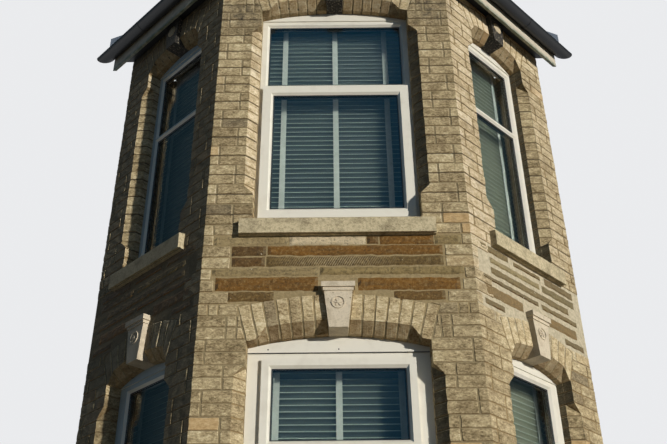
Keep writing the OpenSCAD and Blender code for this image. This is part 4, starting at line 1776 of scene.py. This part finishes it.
@dataclass
class Gaskets:
    """Black rubber round the sealed glass: a wedge in front of it, and behind it a deep black strip that
    paints the shade behind the frame's edges.
    """

    finish: bpy.types.Material
    wide: float = 5 * MM
    proud: float = 4 * MM
    bevel: float = 18 * MM
    glass: float = 24 * MM
    # Depth of the black rubber behind the pane, which paints the shade under the frame's edges.
    channel: float = 24 * MM
    sash_out: float = 26 * MM
    sash_lap: float = 32 * MM
    front_stile: float = 0.120
    side_stile: float = 0.095
    upper_stile: float = 0.056
    front_head: float = 0.108
    side_head: float = 0.054
    rail: float = 0.050
    vent_bar: float = 0.062
    casement_bar: float = 0.078
    casement_foot: float = 0.044
    casement_head: float = 0.075
    screws: tuple[float, float] = (-0.432, 0.0)
    screw_height: float = 3.535

    def lights(self, storey: Storey, side: Side) -> list[tuple[float, float, float, float]]:
        """Lights of a window.

        Args:
            storey: its storey.
            side: face of the bay.

        Returns:
            For each pane half its width, foot, head and depth of its face.
        """
        face, front = BAY.recess + self.bevel, side is Side.FRONT
        hw = BAY.opening(side) - BAY.frame_gap
        foot = storey.sill + BAY.seat + self.rail
        if storey is BAY.ground:
            hw -= self.front_stile if front else self.side_stile
            top = storey.spring - (self.front_head if front else self.side_head)
            low = (hw, foot, storey.light_low - self.rail, face)
            if not front:
                return [low, (hw, storey.light_low, top, face)]
            lap = self.vent_bar - self.sash_lap
            return [low, (hw - lap, storey.light_low + lap, top - lap, face - self.sash_out)]
        hw -= self.upper_stile
        high = (hw, storey.light_low, storey.light_high - self.rail, face)
        if not front:
            return [(hw, foot, storey.light_low - self.rail, face), high]
        lap = self.casement_bar - self.sash_lap
        head = storey.light_low - self.casement_head - lap
        return [(hw - lap, foot + self.casement_foot + lap, head, face - self.sash_out), high]

    def profiles(self, face: float) -> list[list[Point]]:
        """Sections of the wedge in front of a pane and of the deep black strip behind it, which paints the
        shade behind the frame.

        Args:
            face: depth of the face of the pane.

        Returns:
            For each its points (distance into the light, depth).
        """
        back = face + self.glass
        end = back + self.channel
        return [[(0.0, face), (0.0, face - self.proud), (self.wide / 2, face - 0.8 * self.proud),
                 (self.wide, face)],
                [(0.0, back), (0.0, end), (6 * MM, end - 1 * MM), (9 * MM, back + 3 * MM), (9 * MM, back)]]

    def build(self) -> None:
        """Presses in the gaskets of all panes."""
        for storey in (BAY.ground, BAY.upper):
            mesh = Mesher()
            for side in Side:
                for hw, low, high, face in self.lights(storey, side):
                    for profile in self.profiles(face):
                        rings = []
                        for t, z in ((-hw, low), (hw, low), (hw, high), (-hw, high)):
                            across, up = math.copysign(1.0, -t), 1.0 if z == low else -1.0
                            rings.append([BAY.place(side, t + a * across, d, z + a * up) for a, d in profile])
                        mesh.loft(rings, hoop=True)
            # The black strip under the head panel paints the panel's shadow.
            if storey is BAY.ground:
                self.seal(mesh)
            mesh.piece(f"{storey.name}_gaskets", self.finish, "black_boards")

    def seal(self, mesh: Mesher) -> None:
        """Draws a black strip under the head panel of the front ground window, which paints the shadow of the
        panel's edge, and its two screws, black as the shade in their holes.

        Args:
            mesh: gathers them.
        """
        hw = BAY.front_open - BAY.frame_gap
        head = BAY.ground.light_high
        face = BAY.recess - 8 * MM
        profile = [(face + 2 * MM, head - 3 * MM), (face - 0.6 * MM, head - 2 * MM), (face - 1 * MM, head),
                   (face - 0.6 * MM, head + 2 * MM), (face + 2 * MM, head + 3 * MM)]
        mesh.bar(Side.FRONT, profile, (-hw, hw))
        for x in self.screws:
            rings = []
            for radius, d in ((4.5, 1.0), (4.5, -0.6), (3.5, -1.2), (1.0, -0.8)):
                ring = []
                for k in range(12):
                    a = math.tau * k / 12
                    ring.append(BAY.place(Side.FRONT, x + radius * MM * math.cos(a), face + d * MM,
                                          self.screw_height + radius * MM * math.sin(a)))
                rings.append(ring)
            mesh.loft(rings)


def cut(outline: list[Point], a: float, b: float, c: float) -> list[Point]:
    """Keeps the part of an outline where a*x + b*y <= c.

    Args:
        outline: convex outline.
        a: factor of x.
        b: factor of y.
        c: limit.

    Returns:
        The part that stays, maybe empty.
    """
    kept: list[Point] = []
    for (x0, y0), (x1, y1) in zip(outline, outline[1:] + outline[:1]):
        s0, s1 = a * x0 + b * y0 - c, a * x1 + b * y1 - c
        if s0 <= 0:
            kept.append((x0, y0))
        if s0 * s1 < 0:
            share = s0 / (s0 - s1)
            kept.append((x0 + (x1 - x0) * share, y0 + (y1 - y0) * share))
    return kept


@dataclass
class Roof:
    """Slates of the three slopes, laid in courses over the battens."""

    finish: bpy.types.Material
    pitch: float = math.radians(35)
    eaves_out: float = 0.120
    over: float = 0.045
    cover: float = 0.040
    gauge: float = 0.200
    width: float = 0.250
    length: float = 0.300
    thick: float = 6 * MM
    tail: float = 7.8 * MM
    joint: float = 3 * MM
    half_row: int = 9
    seed: int = 77

    def at(self, side: Side, t: float, h: float, v: float) -> Vector:
        """Point of a slope.

        Args:
            side: face of the bay.
            t: distance along the slope from its middle.
            h: height over it.
            v: distance up it from the eaves.

        Returns:
            The point.
        """
        c, s = math.cos(self.pitch), math.sin(self.pitch)
        d = -self.eaves_out + v * c - h * s
        return BAY.place(side, t, d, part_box("fascia")[1].z + v * s + h * c)

    def build(self) -> None:
        """Lays the slates."""
        chance = random.Random(self.seed)
        turn = math.tan(math.radians(22.5))
        run = math.cos(self.pitch)
        for side in Side:
            mesh = Mesher()
            low = -self.over / run
            high = (BAY.proj + self.eaves_out) / run
            reach = BAY.half if side is Side.FRONT else BAY.side_w / 2
            count = int((high - low) / self.gauge) + 1
            for k in range(count):
                v0 = low + k * self.gauge
                for i in range(-self.half_row, self.half_row + 1):
                    t0 = (i + 0.5 * (k % 2)) * self.width
                    left, right = t0 + self.joint / 2, t0 + self.width - self.joint / 2
                    outline = [(left, v0), (right, v0), (right, v0 + self.length), (left, v0 + self.length)]
                    for m in (1, -1):
                        if side is Side.FRONT or m != side.value:
                            outline = cut(outline, m, run * turn, reach + self.eaves_out * turn)
                        else:
                            outline = cut(outline, m, run, reach + self.eaves_out)
                    outline = cut(outline, 0.0, 1.0, high)
                    if len(outline) < 3:
                        continue
                    lift = chance.uniform(0, 1.5) * MM
                    rings = []
                    for h in (0.0, self.thick):
                        over = self.cover + h + lift
                        rings.append([self.at(side, t, over + self.tail * (1 - (v - v0) / self.length), v)
                                      for t, v in outline])
                    mesh.loft(rings, chance.random())
            mesh.piece(f"slates_{side.name.lower()}", self.finish, "slate")


@dataclass
class Eaves:
    """Half-round brackets that hold the gutter."""

    finish: bpy.types.Material
    radius: float = 0.056
    out: float = 0.120
    drop: float = 0.060
    wide: float = 0.028
    thick: float = 3 * MM
    on_front: tuple[float, ...] = (-0.62, 0.0, 0.62)
    on_cant: tuple[float, ...] = (-0.36, 0.26)

    def bracket(self, mesh: Mesher, side: Side, t: float) -> None:
        """Adds one bracket under the gutter.

        Args:
            mesh: gathers it.
            side: face of the bay.
            t: place along the eaves.
        """
        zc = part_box("fascia")[1].z - self.drop
        dc = -self.out - self.radius
        half, outer = self.wide / 2, self.radius + self.thick
        corners = ((self.radius, -half), (self.radius, half), (outer, half), (outer, -half))
        steps = 16
        rings = []
        for k in range(steps + 1):
            a = math.pi * k / steps
            ring = []
            for radius, off in corners:
                depth = min(dc + radius * math.cos(a), -self.out)
                ring.append(BAY.place(side, t + off, depth, zc - radius * math.sin(a)))
            rings.append(ring)
        mesh.loft(rings)

    def build(self) -> None:
        """Fixes the brackets."""
        mesh = Mesher()
        for t in self.on_front:
            self.bracket(mesh, Side.FRONT, t)
        for side in (Side.LEFT, Side.RIGHT):
            for t in self.on_cant:
                self.bracket(mesh, side, side.value * t)
        mesh.piece("gutter_brackets", self.finish, "black_gutter")


@dataclass
class Studio:
    """Camera, key lamp, fill and floor."""

    lens: float = 46.89
    eye: Triple = (-0.0288, BAY.front_y - 4.806, 1.38)
    pitch: float = math.radians(32.02)
    yaw: float = math.radians(0.05)
    roll: float = math.radians(-0.572)
    key_turn: float = math.radians(42.7)
    key_rise: float = math.radians(8)
    key_size: float = math.radians(1)
    key_strength: float = 3.15
    fill: float = 0.11
    backdrop: float = 0.85
    sky: float = 1.0
    floor_reach: float = 14.0
    floor_deep: float = 0.02

    def camera(self) -> None:
        """Makes the camera."""
        data = bpy.data.cameras.new("camera")
        data.sensor_width = 36.0
        data.lens = self.lens
        camera = bpy.data.objects.new("camera", data)
        bpy.context.scene.collection.objects.link(camera)
        ahead = Vector((math.sin(self.yaw) * math.cos(self.pitch), math.cos(self.yaw) * math.cos(self.pitch),
                        math.sin(self.pitch)))
        right = Vector((math.cos(self.yaw), -math.sin(self.yaw), 0.0))
        up = right.cross(ahead)
        turned = math.cos(self.roll) * right + math.sin(self.roll) * up
        over = math.cos(self.roll) * up - math.sin(self.roll) * right
        world = camera.matrix_world.copy()
        for i in range(3):
            world[i][0], world[i][1], world[i][2], world[i][3] = turned[i], over[i], -ahead[i], self.eye[i]
        camera.matrix_world = world
        bpy.context.scene.camera = camera

    def lamp(self) -> None:
        """Makes the key lamp, low in front on the right."""
        data = bpy.data.lights.new("key", "SUN")
        data.energy = self.key_strength
        data.angle = self.key_size
        data.color = (1.0, 0.985, 0.95)
        lamp = bpy.data.objects.new("key", data)
        source = Vector((math.sin(self.key_turn) * math.cos(self.key_rise),
                         -math.cos(self.key_turn) * math.cos(self.key_rise), math.sin(self.key_rise)))
        lamp.rotation_euler = source.to_track_quat("Z", "Y").to_euler()
        bpy.context.scene.collection.objects.link(lamp)

    def world(self) -> None:
        """Soft fill all round, with a pale backdrop, and a blue sky over the street in the panes."""
        world = bpy.data.worlds.new("studio")
        bpy.context.scene.world = world
        world.use_nodes = True
        tree = world.node_tree
        tree.nodes.clear()
        fill = add(tree, "Background", {0: (0.50, 0.80, 1.22, 1.0), 1: self.fill})
        pale = add(tree, "Background", {0: (0.97, 0.98, 1.0, 1.0), 1: self.backdrop})
        way = add(tree, "SeparateXYZ", {0: add(tree, "TexCoord", out="Generated")}).node.outputs
        ahead = add(tree, "MapRange", {0: way[1], 1: 0.0, 2: -0.5})
        deep = add(tree, "Mix", {0: ahead, 6: "#2A434F", 7: "#1D6F9A"}, 2, data_type="RGBA")
        blue = add(tree, "Background", {0: deep, 1: self.sky})
        high = add(tree, "MapRange", {0: way[2], 1: 0.10, 2: 0.25})
        street = add(tree, "MapRange", {0: way[1], 1: 0.50, 2: 0.34})
        share = add(tree, "Math", {0: high, 1: street}, operation="MULTIPLY")
        backdrop = add(tree, "MixShader", {0: share, 1: pale, 2: blue})
        mixed = add(tree, "MixShader", {0: Sheet(tree).value(Seen()), 1: fill, 2: backdrop})
        tree.links.new(mixed, tree.nodes.new("ShaderNodeOutputWorld").inputs[0])

    def floor(self) -> None:
        """Lays a plain pale floor."""
        mesh = Mesher()
        reach = self.floor_reach
        corners = ((-reach, -reach), (reach, -reach), (reach, reach), (-reach, reach))
        mesh.loft([[Vector((x, y, z)) for x, y in corners] for z in (-self.floor_deep, 0.0)])
        data = bpy.data.meshes.new("floor")
        data.from_pydata([p[:] for p in mesh.points], [], mesh.faces)
        floor = bpy.data.objects.new("floor", data)
        data.materials.append(PaleFloor("pale_floor", 0.9).material())
        bpy.context.scene.collection.objects.link(floor)
        outward(floor)

    def build(self) -> None:
        """Sets up everything round the bay."""
        bpy.context.scene.view_settings.view_transform = "Standard"
        self.camera()
        self.lamp()
        self.world()
        self.floor()


def main() -> None:
    """Builds and dresses the bay in order, and reports each piece."""
    logging.basicConfig(level=logging.INFO, format="%(message)s")
    noise.seed_set(WEAR_SEED)
    finishes = Finishes()
    CadDress(finishes).build()
    brick, arch_brick = finishes["fired_buff_brick"], finishes["fired_arch_brick"]
    foot, band, line = BAY.plinth_top, BAY.band_foot, BAY.upper_line
    Walling(brick, BAY.ground, foot, band, first_line=band, seed=11).build()
    Walling(brick, BAY.upper, line, BAY.wall_top, first_line=line, seed=12).build()
    Arches(arch_brick, BAY.ground, seed=21).build()
    Arches(arch_brick, BAY.upper, seed=22).build()
    Band(finishes["split_sandstone"]).build()
    BandQuoins(brick, BAY.ground, band, line, first_line=band, seed=31).build()
    Linings(finishes["stained_lining_boards"]).build()
    Slats(finishes["enamelled_slats"]).build()
    Gaskets(finishes["rubber_gasket"]).build()
    Roof(finishes["riven_slate"]).build()
    Eaves(finishes["moulded_black_gutter"]).build()
    Studio().build()


if __name__ == "__main__":
    main()
